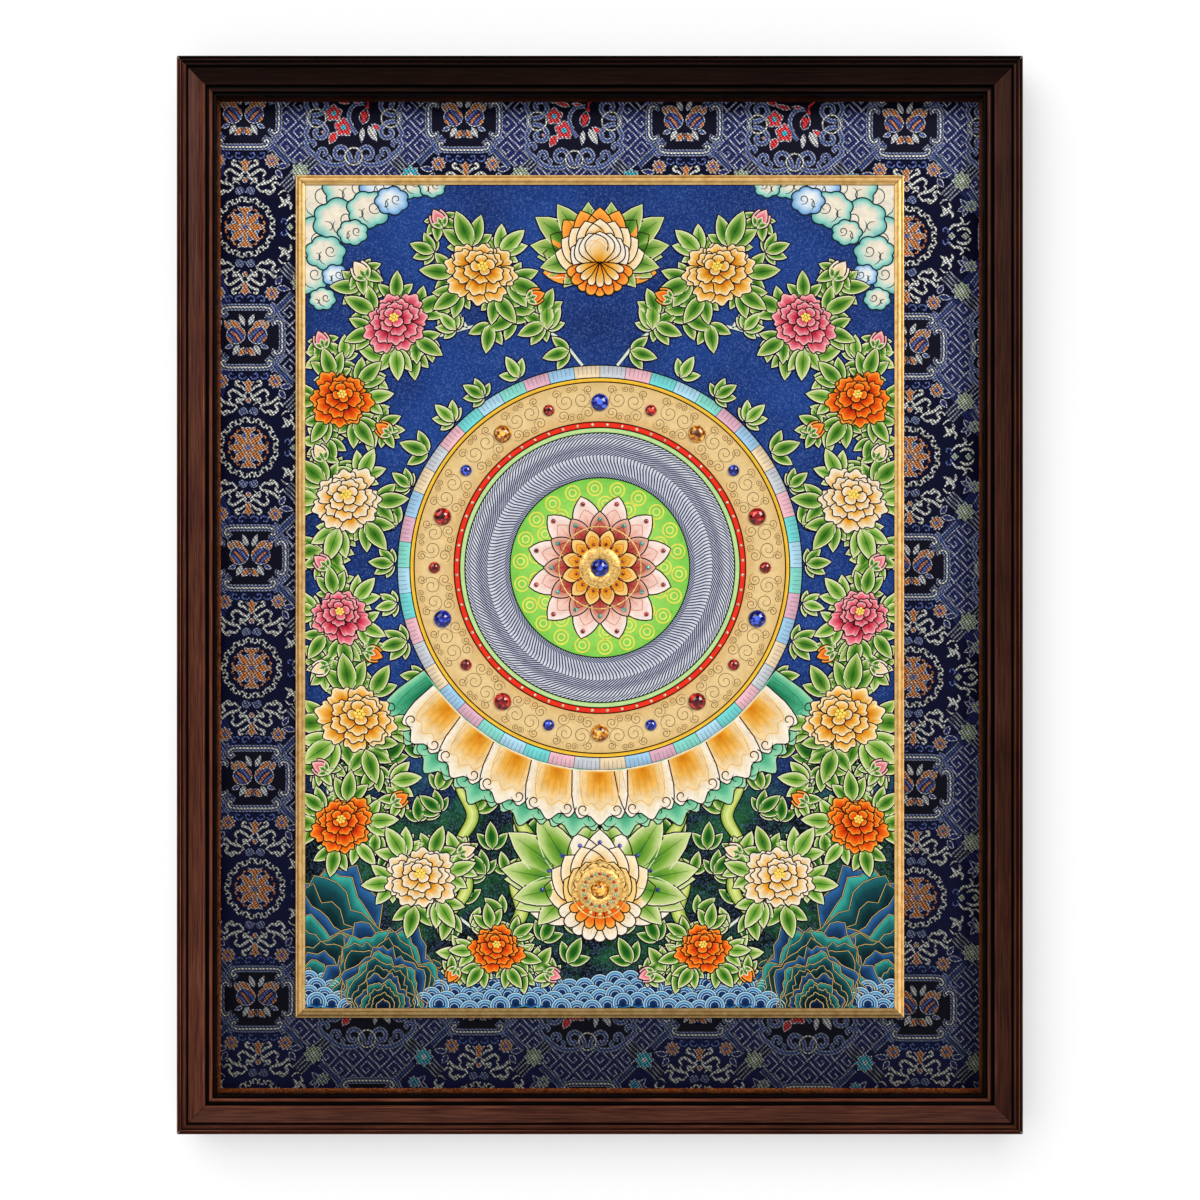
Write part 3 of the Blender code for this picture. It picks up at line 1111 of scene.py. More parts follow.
    def scrolls(self, up: int) -> None:
        """The leaf scroll, bud and blossoms between a roundel and a cartouche.

        Args:
            up: 1 for the ones above the roundel, or -1 for the ones below it.
        """
        flips = ((1, up), (-1, up))
        self.bands([[(1.6, 34), (4, 38.6), (8.2, 37), (7, 33.6), (4.2, 35)]], 1.6, flips)
        self.blob(ring_points(2.6, 6) + (0, 47), COPPER, flips=flips[:1])
        bud = np.array([(0, 54), (2.6, 56.5), (2.2, 61), (6.4, 66.5), (2.4, 65), (0, 68.5)], float)
        self.blob(np.vstack([bud, (bud * (-1, 1))[-2:0:-1]]), COPPER, 0.32, flips=flips[:1])
        heavy = (
            ((1.4, 55.5), (5, 51.5), (10, 54.5), (15.5, 57.5), (20, 54), (17.6, 50.4)),
            ((3.2, 57), (7.4, 61), (12.4, 62.6), (11.4, 66.4), (8.4, 65.4)),
            ((2, 51.6), (6.5, 47.6), (11.4, 48.6), (11, 45)),
            ((11, 38.6), (13.6, 42.2), (19, 43.4), (25.6, 46.4), (29.4, 50.4), (31.4, 47.4)),
            ((12.6, 39), (16.6, 35.2), (21.4, 36.6), (26, 34.6), (29.4, 38.4), (27, 42), (31, 44.6),
             (35, 41)),
        )  # fmt: skip
        self.curves(heavy, HEAVY, flips, 0.28, 0.45)
        light = (
            ((5, 42.4), (8.6, 45.4), (12.4, 43.6)),
            ((16, 43), (19.4, 47), (17, 49.6)),
            ((20, 36), (22.6, 32.6), (26, 33)),
        )
        self.curves(light, SILVER, flips)
        for shift in (0, 10):
            ball = np.array([(2, 71), (4.6, 68.6), (9, 70), (8.6, 74), (5, 73)]) + (shift, 0)
            self.curves([ball], CORD, flips, 0.26, 1.0)
        for side, _ in flips:
            self.blossom((26.8 * side, 66.2 * up), 7.4, 9, COPPER, CORD)
        for base, angle, length in (((32, 60), 10, 13), ((31, 57), -55, 10)):
            self.blob(self.leaf(base, angle, length, 5.4), DARK_LEAF, 0.22, FINE, flips)

    def side_scrolls(self) -> None:
        """The sprigs, knots and striped bars towards the lozenges."""
        heavy = (
            ((33.5, 20), (38, 23), (36, 28)), ((34.6, 30), (39.5, 26), (44, 29), (42, 33)),
            ((39, 20.6), (42, 25), (46, 22), (45, 17.6)), ((42, 6), (47, 11), (52, 11), (56, 15), (53, 19)),
            ((50, 5), (55, 7.5), (61, 6.5), (64, 2)),
        )  # fmt: skip
        self.curves(heavy, HEAVY, ALL_ROUND, 0.28, 0.45)
        self.curves((((33, 32), (37, 36), (41, 36)), ((55, 12), (60, 12), (63, 15))), SILVER, ALL_ROUND)
        for middle in (45, 58.5):
            self.blob(ring_points(3.4, 4) + (middle, 0), SAGE, flips=SIDEWAYS)
        self.stroke(curl((38.5, 5.6), 3.4, -60, 280, 0.55), CORD, flips=ALL_ROUND)
        for side, up in ALL_ROUND:
            self.blossom((64.5 * side, 30 * up), 6.2, 8, SAGE if side > 0 else TEAL, CORD)
            self.crossing(side, up)
        for angle in (130, 205, 250):
            self.blob(self.leaf((60, 29), angle, 10, 4.6), DARK_LEAF, 0.22, FINE, ALL_ROUND)

    def crossing(self, side: int, up: int) -> None:
        """A rosette on the lozenge's edge, with a striped bar across it.

        Args:
            side: 1 for the right of the roundel, or -1 for the left of it.
            up: 1 for above the roundel, or -1 for below it.
        """
        middle = np.array([55.0 * side, 55.0 * up])
        along = np.array([side, up]) / math.sqrt(2)
        stripes = Pen(INK, 13 * self.pixel, 0.02, (INK, EDGE, INK) * 4)
        for ends in ((-23, -8), (8, 22)):
            self.stroke([middle + along * t for t in ends], stripes)
        self.blob(ring_points(9.8, 14) + middle, Pen(INK, 1.0), 0.27, None)
        self.blossom(middle, 9.8, 8, SAGE if side > 0 else TEAL, WHITE)

    def lozenge_edges(self) -> None:
        """The triple line round a lozenge of key fret, about its middle."""
        pen = Pen(BLUE, 5.4, 0.08, (INK, EDGE, INK, BLUE, BLUE, INK, EDGE, INK))
        for start, end in ((20, 46), (64, 90)):
            self.stroke([(start, 108.8 - start), (end, 108.8 - end)], pen, 0.24, ALL_ROUND)

    def fret(self) -> None:
        """Key fret of square spirals that fills the lozenge, turned by 45 degrees."""
        steps = 4
        size = steps * self.fret_pitch
        half = 104 * self.pixel / math.sqrt(2)
        corner = np.array([(half, half), (-half, half), (-half, -half), (half, -half)])
        self.figure.patch(self.origin + turned(corner, 45), "#222a62", 0.02, rings=1)
        count = int(half / size) + 1
        spiral = np.array([(-0.5, 0), (3, 0), (3, 3), (1, 3), (1, 1.2), (2, 1.2), (2, 2)], float)
        tail = np.array([(0, 0), (0, 3.5)], float)
        for i in range(-count, count):
            for j in range(-count, count):
                for path in (spiral, tail):
                    net = np.clip((path / steps + (i, j)) * size, -half, half)
                    if np.ptp(net, axis=0).max() > 1:
                        self.figure.line(self.origin + turned(net, 45), FRETWORK, 0.06)

    def fruit_cartouche(self) -> None:
        """A bracketed frame round a pair of fruits with leaves."""
        rim = np.array([(33, 0), (33, 12), (28, 20), (22, 27), (0, 28)], float)
        loop = np.vstack([rim, (rim * (-1, 1))[-2::-1], (rim * (-1, -1))[1:], (rim * (1, -1))[-2:0:-1]])
        self.figure.patch(self.at(loop), INK, 0.20, rings=1)
        bar = [(0, 30), (17, 30), (23.4, 28.4), (25, 24.6), (22.6, 22.8), (20.8, 24.6)]
        wall = [(35.5, 0), (35.4, 9), (34.4, 14.4), (31, 16.6), (27.6, 15), (28.8, 12.8)]
        wires = (INK, EDGE, BLUE, INK, "#dcdcd4")
        self.curves((bar, wall), Pen(BLUE, 5.0, 0.10, wires + wires[::-1]), ALL_ROUND, 0.30, 1.0)
        self.bands([[(24, 34), (28.6, 31), (30.6, 26), (33, 20.6), (38, 19)]], 2.4, ALL_ROUND, 0.24)
        body = ring_points(1.0, 12) * (9.4, 9.0) + (10.8, 2.4)
        stripes = (
            (COPPER, ((2.4, 3), (5, 7.4), (10, 11))), (CORD, ((3.4, -1.4), (7, 4), (13, 9))),
            (COPPER, ((6.6, -4.4), (10.4, 1.4), (16, 6))), (CORD, ((10.6, -5.4), (14, -1), (18.6, 3))),
            (COPPER, ((15, -4.6), (17.6, -2), (19.4, 0.4))),
        )  # fmt: skip
        self.blob(body, Pen("#26306c", 1, 0.05), 0.25, FINE, SIDEWAYS)
        for pen, stripe in stripes:
            self.curves([stripe], Pen(pen.colour, 1.8, 0.1), SIDEWAYS, 0.33, 0.6)
        leaves = (
            ((6, 10), 30, 14, 6, COPPER), ((8, -8), -60, 11, 5, WHITE), ((2.4, 12), 66, 12, 4.4, WHITE),
            ((17, 8), 60, 10, 5, COPPER), ((14, -8), -20, 8, 4, Pen(BLUE, 1, 0.1)),
            ((0, -11), -40, 11, 6.5, COPPER), ((0, -9), -90, 11, 5, CORD),
        )  # fmt: skip
        for base, angle, length, width, pen in leaves:
            self.blob(self.leaf(base, angle, length, width), pen, 0.36, flips=SIDEWAYS)

    def flower_cartouche(self) -> None:
        """A wide dark cartouche bordered with cloud scrolls and rings, with a red spray in it."""
        rim = np.array([(0, 47), (20, 46), (33, 41), (42, 32), (46, 20), (46, 0)], float)
        loop = np.vstack([rim, (rim * (1, -1))[-2::-1], (rim * (-1, -1))[1:], (rim * (-1, 1))[-2:0:-1]])
        self.figure.patch(self.at(loop), INK, 0.16, rings=1)
        rims = (
            ((46, 0), (44.6, 7), (47.8, 14.9), (45, 21)),
            ((45, 20), (47.5, 25), (45, 31.5), (38.5, 37), (33, 42), (25, 46), (14, 46.5), (7, 43.5)),
        )
        self.bands(rims, 4.0, ALL_ROUND)
        knobs = (
            ((45.5, 23.5), (40.5, 22.2), (38.6, 25.6), (41.4, 27.6)),
            ((36, 37), (33.5, 31), (28.5, 31.2), (27.6, 35.2), (31, 36.6)),
            ((26, 44.5), (23.2, 40.5), (26, 37.6)),
        )
        self.bands(knobs, 2.8, ALL_ROUND, 0.30)
        side_volute = (
            (41.5, 2.9), (36.8, 3.4), (31.7, 5.5), (27.0, 11.6), (28.4, 17.6), (33.1, 19.6), (38.2, 17.4),
            (38.4, 13), (34.8, 12.2),
        )  # fmt: skip
        end_volute = (
            (2.4, 44.6), (3.2, 40), (4.8, 35.2), (8.4, 30.4), (13.8, 28.6), (18.4, 32.4), (17.6, 38.4),
            (12.9, 40.2), (11.1, 36.6),
        )  # fmt: skip
        self.bands((side_volute, end_volute), 3.8, ALL_ROUND, 0.36)
        for spot, radius in (((36.8, 0), 9.2), ((-36.8, 0), 9.2), ((0, 38), 8.6), ((0, -38), 8.6)):
            self.stroke(ring_points(radius, 22) + spot, SILVER, 0.52, closed=True)
        self.spray()

    def spray(self) -> None:
        """The red and white flower spray in the dark cartouche."""
        self.bands([[(11, 15), (1, 13.5), (-4.5, 5), (-3.5, -6), (3, -16)]], 3.0, PLAIN)
        for middle, radius in (((-20, 5), 9), ((-10, -9), 10)):
            self.blossom(middle, radius, 5, RED, TEAL)
        leaves = (
            ((-4, 15), 165, 17, 4.6, RED), ((8, 16), 172, 11, 3.2, RED), ((-17, 19), 155, 15, 6, RED),
            ((-18, -14), -118, 13, 8, RED), ((-24, -15), 170, 9, 4, RED),
            ((9, -6), 78, 17, 10, Pen("#3a1430", 1, 0.05)), ((18, -6), -32, 14, 5, RED),
            ((15, -8), -62, 17, 7, WHITE), ((9, -10), -95, 14, 4.6, WHITE),
        )  # fmt: skip
        for base, angle, length, width, pen in leaves:
            self.blob(self.leaf(base, angle, length, width), pen, 0.30)
        self.curves([[(11, 13), (15, 10), (14, 17), (19, 22), (17, 27)]], RED, PLAIN, 0.30, 0.5)
        for angle in (62, 80, 98):
            self.stroke([np.array([9.5, -4]) + ways(angle) * t for t in (0, 11)], RED, 0.38)

    def weave(self) -> None:
        """Draws every motif that shows between the frame and the fillet."""
        across, upwards, start = (np.array(v) for v in (self.across, self.upwards, self.roundel))
        wide, tall = self.figure.reach
        # Each drawing, its place between two roundels, and how far it reaches in millimetres
        drawings = (
            (self.roundel_motif, 0.0, 0.0, 66),
            (self.fret, 0.5, 0.5, 76),
            (self.lozenge_edges, 0.5, 0.5, 76),
            (self.flower_cartouche, 0.5, 0.5, 36),
            (self.fruit_cartouche, 0.0, 0.5, 28),
            (self.fruit_cartouche, 0.5, 0.0, 28),
        )
        for i, j in itertools.product(range(-1, 5), range(-6, 3)):
            for draw, half_across, half_up, reach in drawings:
                spot = start + across * (i + half_across) + upwards * (j + half_up)
                outside = abs(spot[0]) > wide + reach or abs(spot[1]) > tall + reach
                covered = all(np.abs(spot) < np.array(self.covered) - reach)
                if not outside and not covered:
                    self.origin = spot
                    draw()

    def build(self) -> bpy.types.Object:
        """Makes the cloth and its woven figure, in an upper and a lower piece.

        Returns:
            The cloth.
        """
        mesh = slab("brocade_cloth", self.low, self.high, self.cell, self.unevenness)
        cloth = place(mesh, "brocade_cloth", SilkGround().build(), "brocade")
        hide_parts(self.node)
        self.weave()
        thread = FiguredThread().build()
        for half, part in (("upper", 1), ("lower", -1)):
            name = f"brocade_figure_{half}"
            place(self.figure.mesh(name, part), name, thread, "brocade")
        return cloth


# ---------------------------------------------------------------- the painted canvas


GILT = "#e0b860"
OUTLINE = Pen("#2c100a", 0.85)
OUTLINE_DARK = Pen("#0a0808", 0.8)
LEAF_EDGE = Pen("#0a0808", 2.4)
LEAF_VEIN = Pen("#1c5a20", 0.5)
CREAM_LINE = Pen("#eae6c8", 0.55)
STEM_PALE = Pen("#d8e0d4", 1.8)
STEM_EDGE = Pen("#2c3a2c", 2.7)
GOLD_TRIM = Pen("#e4cc78", 0.5)
VEIN = 0.45  # mm, how wide a petal's vein is
DOME = 0.03  # mm, how much higher a petal's middle is than its rim
OVER = 0.04  # mm, how high a petal's lines lie above its rim

PEONY_YELLOW: Ramp = ((0.0, "#b85004"), (0.35, "#e08c14"), (0.70, "#eebc50"), (1.0, "#f8ecd2"))
PEONY_ORANGE: Ramp = ((0.0, "#8c1404"), (0.4, "#d83a08"), (0.75, "#f27412"), (1.0, "#fab048"))
PEONY_PINK: Ramp = ((0.0, "#980824"), (0.4, "#cc3048"), (0.75, "#ea828e"), (1.0, "#f8ccc8"))
PEONY_CREAM: Ramp = ((0.0, "#d07408"), (0.35, "#eaaa30"), (0.66, "#ecd2a0"), (1.0, "#f4ecde"))
LEAF_DEEP: Ramp = ((0.0, "#1c5414"), (0.45, "#447f22"), (0.8, "#86ae38"), (1.0, "#b8cc70"))
LEAF_PALE: Ramp = ((0.0, "#3c7c24"), (0.45, "#6ea034"), (0.8, "#a6c250"), (1.0, "#d0dc94"))
LEAF_LOW: Ramp = ((0.0, "#0a3a10"), (0.5, "#22661c"), (0.85, "#5a962c"), (1.0, "#94b450"))
SEPAL: Ramp = ((0.0, "#0a4c34"), (0.5, "#20845c"), (0.85, "#60bc90"), (1.0, "#a4dcb4"))
LOTUS_PALE: Ramp = ((0.0, "#d06858"), (0.35, "#e8a894"), (0.75, "#f2d2c4"), (1.0, "#f6e8e0"))
LOTUS_ROSE: Ramp = ((0.0, "#801818"), (0.45, "#ac3430"), (0.8, "#cc7c68"), (1.0, "#e8bca4"))
LOTUS_GOLD: Ramp = ((0.0, "#c86c06"), (0.5, "#e89c20"), (1.0, "#f6d488"))
CLOUD: Ramp = ((0.0, "#f0e4ce"), (0.5, "#e6ddca"), (0.8, "#98d4c6"), (1.0, "#48b0a8"))
CLOUD_BLUE: Ramp = ((0.0, "#f2eee6"), (0.45, "#dce6ec"), (0.8, "#94c0e4"), (1.0, "#4c8cc8"))
ROCK_RAMPS: tuple[Ramp, ...] = (
    ((0.0, "#04080e"), (0.6, "#0a222c"), (1.0, "#1c6a70")),
    ((0.0, "#052026"), (0.6, "#0c4a4e"), (1.0, "#3cb0a0")),
    ((0.0, "#050c20"), (0.6, "#0c2448"), (1.0, "#2e68a0")),
    ((0.0, "#04080c"), (0.6, "#061c22"), (1.0, "#14484c")),
)


@dataclass(frozen=True)
class Bloom:
    """One blossom of the vine, on the right half: its place, size, colours and lean."""

    x: float
    z: float
    radius: float
    ramp: Ramp
    squash: float = 0.88
    lean: float = 0.0  # degrees


BLOOMS = (
    Bloom(82, 224, 27, PEONY_YELLOW, 0.86, 12),
    Bloom(141, 189, 24, PEONY_PINK, 0.90, -20),
    Bloom(179, 136, 23, PEONY_ORANGE, 0.92, 10),
    Bloom(175, 66, 27, PEONY_CREAM, 0.86, -8),
    Bloom(181, -14, 22, PEONY_PINK, 0.90, 15),
    Bloom(167, -86, 29, PEONY_YELLOW, 0.86, 8),
    Bloom(178, -158, 23, PEONY_ORANGE, 0.90, -14),
    Bloom(124, -196, 26, PEONY_CREAM, 0.86, -6),
    Bloom(72, -244, 21, PEONY_ORANGE, 0.84, 10),
)

# Buds of the vine, on the right half: x, z, the way that they point in degrees, and length
BUDS = (
    (112, 262, 60, 14), (44, 208, 160, 13), (166, 226, 55, 15), (193, 178, 70, 13), (150, 116, 35, 13),
    (194, 100, 60, 13), (193, 24, 40, 13), (156, -40, -160, 13), (194, -50, -20, 13), (194, -118, 30, 13),
    (138, -140, 150, 13), (92, -176, 160, 13), (32, -262, 200, 12), (102, -262, -60, 12),
)  # fmt: skip

# Stems of the vine, on the right half, through these places
STEMS = (
    ((12, 160), (30, 180), (58, 194), (82, 222)), ((58, 194), (92, 186), (118, 180), (141, 189)),
    ((92, 186), (108, 214), (114, 238), (112, 256)), ((34, 186), (40, 192), (44, 198), (44, 204)),
    ((118, 180), (142, 166), (160, 154), (179, 136)), ((141, 189), (156, 204), (164, 214), (166, 222)),
    ((160, 154), (174, 162), (186, 168), (192, 174)), ((179, 136), (187, 112), (185, 88), (175, 66)),
    ((186, 112), (190, 108), (192, 104), (194, 96)), ((168, 130), (160, 122), (154, 118), (150, 114)),
    ((175, 66), (188, 34), (189, 8), (181, -14)), ((186, 40), (190, 34), (192, 28), (193, 20)),
    ((181, -14), (184, -44), (180, -64), (167, -86)), ((184, -40), (188, -44), (192, -46), (194, -48)),
    ((183, -32), (172, -34), (164, -36), (158, -38)), ((167, -86), (186, -110), (188, -136), (178, -158)),
    ((167, -86), (156, -112), (146, -128), (140, -138)), ((187, -112), (190, -114), (192, -116), (194, -117)),
    ((178, -158), (160, -160), (140, -176), (124, -196)), ((124, -196), (104, -188), (98, -182), (94, -178)),
    ((124, -196), (108, -214), (90, -228), (72, -244)), ((72, -244), (58, -256), (46, -260), (34, -262)),
    ((82, -236), (90, -246), (96, -254), (100, -260)),
)  # fmt: skip

# The lobes of the cloud in the upper right corner, from back to front: x, z and radius
CLOUD_LOBES = (
    (198, 276, 21), (172, 282, 17), (150, 284, 14), (131, 286, 11), (116, 284, 8), (200, 246, 17),
    (180, 260, 16), (160, 268, 13), (144, 274, 10), (201, 222, 13), (190, 238, 12), (171, 252, 9),
    (192, 206, 8), (183, 222, 8),
)  # fmt: skip

# The curls in a lobe: radius as a share of the lobe's, start and sweep in degrees, and place as shares
CLOUD_CURLS = ((0.36, 200, 400, (-0.3, 0.1)), (0.7, 250, 110, (0, 0)), (0.3, 60, 200, (0.5, -0.3)))

# A sprig's leaflets, by their number: the turn of each in degrees, and its share of the sprig's length
FANS = {
    5: ((-76, 0.62), (76, 0.62), (-38, 0.86), (38, 0.86), (0, 1.0)),
    3: ((-46, 0.8), (46, 0.8), (0, 1.0)),
}

# A peony's rings: how many petals, their share of its radius, the angle of each in degrees, and the
# share near its root that the next ring hides
PEONY_RINGS = ((8, 1.0, 62, 0.55), (7, 0.78, 68, 0.5), (5, 0.56, 90, 0.4), (4, 0.33, 112, 0.02))

# A lotus's tiers: how many petals, the angle that they fill in degrees, their length, width and level
LOTUS_TIERS = ((11, 196, 50, 26, 0.36), (9, 150, 40, 26, 0.52), (7, 118, 29, 26, 0.68))

# The gold ring's spirals: the turn from the stone in degrees, offset and radius as shares, and start
SPIRALS = (
    (2.8, 0.18, 0.52, 90), (4.6, -0.52, 0.34, 200), (1.6, -0.70, 0.22, 20), (5.2, 0.66, 0.26, 300),
    (0.9, 0.78, 0.18, 150),
)  # fmt: skip


@dataclass(frozen=True)
class Levels:
    """How high the painting's layers lie above the canvas, in millimetres."""

    rocks: float = 0.02
    wheel: float = 0.03
    low_leaves: float = 0.06
    clouds: float = 0.04
    streamers: float = 0.34
    stems: float = 0.40
    leaves: float = 0.48
    rim_petals: float = 0.60
    buds: float = 0.72
    blooms: float = 0.80


@dataclass
class Canvas:
    """Painted cotton canvas: a lotus wheel in a flowering vine, over rocks and waves."""

    node: str = "painting"
    wheel: tuple[float, float] = (0.0, 20.0)  # mm, its middle
    rim: float = 140.0  # mm, its radius
    lotus: tuple[float, float] = (0.0, -203.0)  # mm, the lower lotus's middle
    sight: tuple[float, float] = (203.9, 284.8)  # mm, half of what shows
    cell: float = 20 * MM
    seed: int = 11
    levels: Levels = Levels()
    low: Vector = field(init=False)
    high: Vector = field(init=False)
    figures: dict[str, Figure] = field(init=False)
    chance: random.Random = field(init=False)

    def __post_init__(self) -> None:
        """Reads the solid's box and lays out a figure for each mesh."""
        self.low, self.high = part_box(self.node)
        names = ("wheel", "lines", "leaves", "low_leaves", "blossoms", "scenery", "gold")
        self.figures = {name: self.blank() for name in names}
        self.chance = random.Random(self.seed)

    def blank(self) -> Figure:
        """An empty figure on the canvas."""
        return Figure(-self.low.y, (self.low.z + self.high.z) / 2, self.sight)

    def both_sides(self, *names: str) -> Iterable[int]:
        """Sets some figures to draw the right half, and then its mirror image with the same chances.

        Args:
            names: The figures that draw.

        Returns:
            1 and then -1.
        """
        for side in (1, -1):
            for name in names:
                self.figures[name].flip = side
            self.chance = random.Random(self.seed)
            yield side
        for name in names:
            self.figures[name].flip = 1

    # Small shapes

    def petal(
        self,
        root: np.ndarray,
        angle: float,
        length: float,
        spread: float,
        ramp: Ramp,
        height: float,
        ruffle: float = 0.14,
        lobes: int = 3,
        inner: float = 0.02,
    ) -> None:
        """Paints one broad petal with a scalloped rim.

        Args:
            root: Where it grows from.
            angle: The way that it points, in degrees.
            length: Its length.
            spread: The angle that it fills, in degrees.
            ramp: Its colours from root to rim.
            height: Its level.
            ruffle: How deep the cuts between the rim's lobes are, as a share of its length.
            lobes: How many lobes its rim has.
            inner: The share of its length near the root that other petals hide.
        """
        figure = self.figures["blossoms"]
        share = np.linspace(-1, 1, 17)
        envelope = (1 - np.abs(share) ** 3.2) ** 0.45
        radius = length * envelope * (1 - ruffle + ruffle * np.abs(np.cos(math.pi * lobes * share / 2)))
        rim = root + ways(angle + share * spread / 2) * np.maximum(radius, inner * length)[:, None]
        rows = np.linspace(inner, 1, 5)
        flat = root + (rim - root)[None] * rows[:, None, None]
        colours = ramp_colours(ramp, np.linspace(0, 1, 5))[:, None, :]
        figure.grid(flat, (height + DOME * (1 - rows**2))[:, None], colours)
        figure.line(rim, OUTLINE, height + OVER)
        for vein in (-0.5, -0.2, 0.2, 0.5):
            toward = ways(angle + vein * spread / 2) * length
            path = root + toward * np.array([[inner + 0.1], [0.84]])
            figure.line(path, Pen(ramp[1][1], VEIN), height + OVER, 0.5)

    def leaflet(
        self, figure: Figure, root: Spot, angle: float, length: float, ramp: Ramp, height: float
    ) -> None:
        """Paints one leaflet with a pale rim, a dark outline and a vein.

        Args:
            figure: What it is part of.
            root: Where it grows from.
            angle: The way that it points, in degrees.
            length: Its length.
            ramp: Its colours from its middle to its rim.
            height: Its level.
        """
        outline = root + turned(pointed(length, length * 0.44, 0.82, 7), angle)
        spine = root + turned(np.array([(0.04, 0), (0.45, 0), (0.86, 0)]) * length, angle)
        figure.patch(outline, ramp, height, DOME, root=spine[1], rings=2)
        figure.line(outline, LEAF_EDGE, height - 0.012, closed=True)
        figure.line(outline, CREAM_LINE, height + 0.012, closed=True)
        figure.line(spine, LEAF_VEIN, height + 0.05, 0.4)

    def sprig(
        self, root: Spot, angle: float, length: float, raised: float = 0.0, low: bool = False
    ) -> None:
        """Paints a spray of three or five leaflets from one root.

        Args:
            root: Where it grows from.
            angle: The way that it points, in degrees.
            length: Its length.
            raised: How much higher it lies than the other leaves.
            low: Whether it is one of the dark ones on the ground.
        """
        start, way = np.asarray(root, float), ways(angle)
        if np.linalg.norm(start + way * length - self.wheel) < self.rim:
            return
        figure = self.figures["low_leaves" if low else "leaves"]
        height = raised + (self.levels.low_leaves if low else self.levels.leaves)
        count = self.chance.choice((5, 3, 3) if low else (5, 5, 3))
        ramps = (LEAF_LOW, LEAF_DEEP, LEAF_LOW) if low else (LEAF_DEEP, LEAF_DEEP, LEAF_PALE)
        ramp = self.chance.choice(ramps)
        for k, (turn, share) in enumerate(FANS[count]):
            heading = angle + turn + self.chance.uniform(-7, 7)
            foot = start + way * length * 0.06
            self.leaflet(figure, foot, heading, length * share, ramp, height + 0.03 * k)

    def peony(self, bloom: Bloom) -> None:
        """Paints one full blossom: four rings of petals, each on top of the one outside it.

        Args:
            bloom: The blossom.
        """
        figure, size = self.figures["blossoms"], bloom.radius
        first = len(figure.points)
        for ring, (count, share, spread, inner) in enumerate(PEONY_RINGS):
            lobes = 1 if ring == 3 else 3
            for k in range(count):
                angle = 360 * k / count + ring * 23 + self.chance.uniform(-9, 9)
                length = size * share * self.chance.uniform(0.86, 1.10)
                height = self.levels.blooms + ring * 0.17 + (k % 3) * 0.05
                root = np.array([0.0, size * 0.07 * ring])
                self.petal(root, angle, length, spread, bloom.ramp, height, 0.14, lobes, inner)
        for k in range(7):
            spot = ring_points(size * (0.10 if k else 0.0), 6)[k % 6] + (0, size * 0.2)
            stamen = ring_points(size * 0.05, 6) + spot
            figure.patch(stamen, "#f8dc60", self.levels.blooms + 0.75, 0.1, rings=1)
        for block in figure.points[first:]:
            flat = block[:, [0, 2]] * (figure.flip, 1)
            flat = turned(flat * (1.0, bloom.squash), bloom.lean) + (bloom.x, bloom.z)
            block[:, 0], block[:, 2] = flat[:, 0] * figure.flip, flat[:, 1]

    def bud(self, x: float, z: float, angle: float, length: float, ramp: Ramp) -> None:
        """Paints a bud of three petals in a green calyx.

        Args:
            x: Its middle, to the right.
            z: Its middle, upwards.
            angle: The way that it points, in degrees.
            length: Its length.
            ramp: Its colours from root to rim.
        """
        figure, level = self.figures["blossoms"], self.levels.buds
        root = np.array([x, z], float) - ways(angle) * length * 0.5
        for turn, share in ((-22, 0.9), (22, 0.9), (0, 1.0)):
            outline = root + turned(pointed(length * share, length * 0.66), angle + turn)
            height = level + (0.06 if turn == 0 else 0.0)
            figure.patch(outline, ramp, height, 0.05, root=root + ways(angle), rings=3)
            figure.line(outline, OUTLINE, height + 0.05, closed=True)
        for turn in (-46, 46, 0):
            outline = root + turned(pointed(length * 0.55, length * 0.26, steps=7), angle + turn)
            figure.patch(outline, LEAF_DEEP, level + 0.14, 0.04, rings=2)
            figure.line(outline, CREAM_LINE, level + 0.17, closed=True)

    # The vine and the leaves on the ground

    def vine(self) -> None:
        """Paints the flowering vine on both sides, and a wreath of leaves round the wheel."""
        leaves = self.figures["leaves"]
        for _ in self.both_sides("leaves", "blossoms"):
            for controls in STEMS:
                path = smooth(controls, 7)
                leaves.line(path, STEM_EDGE, self.levels.stems - 0.03)
                leaves.line(path, STEM_PALE, self.levels.stems)
                path = smooth(controls, 4)
                for k in range(2, len(path) - 2, 3):
                    way = path[k + 1] - path[k - 1]
                    heading = math.degrees(math.atan2(way[1], way[0])) + (62 if k % 2 else -62)
                    self.sprig(path[k], heading, self.chance.uniform(16, 22))
            for angle in range(-32, 78, 11):
                root = ways(angle) * (self.rim + 2) + self.wheel
                heading = angle + self.chance.uniform(-30, 30)
                self.sprig(root, heading, self.chance.uniform(15, 21), -0.04)
            for bloom in BLOOMS:
                for k in range(6):
                    angle = 60 * k + bloom.lean + self.chance.uniform(-16, 16)
                    root = ways(angle) * bloom.radius * 0.66 + (bloom.x, bloom.z)
                    self.sprig(root, angle, bloom.radius * self.chance.uniform(0.78, 1.0), 0.10)
                self.peony(bloom)
            for k, (x, z, angle, length) in enumerate(BUDS):
                for turn in (150, -150):
                    self.sprig((x, z), angle + turn, length * 1.1)
                self.bud(x, z, angle, length, (PEONY_PINK, PEONY_ORANGE, PEONY_CREAM)[k % 3])

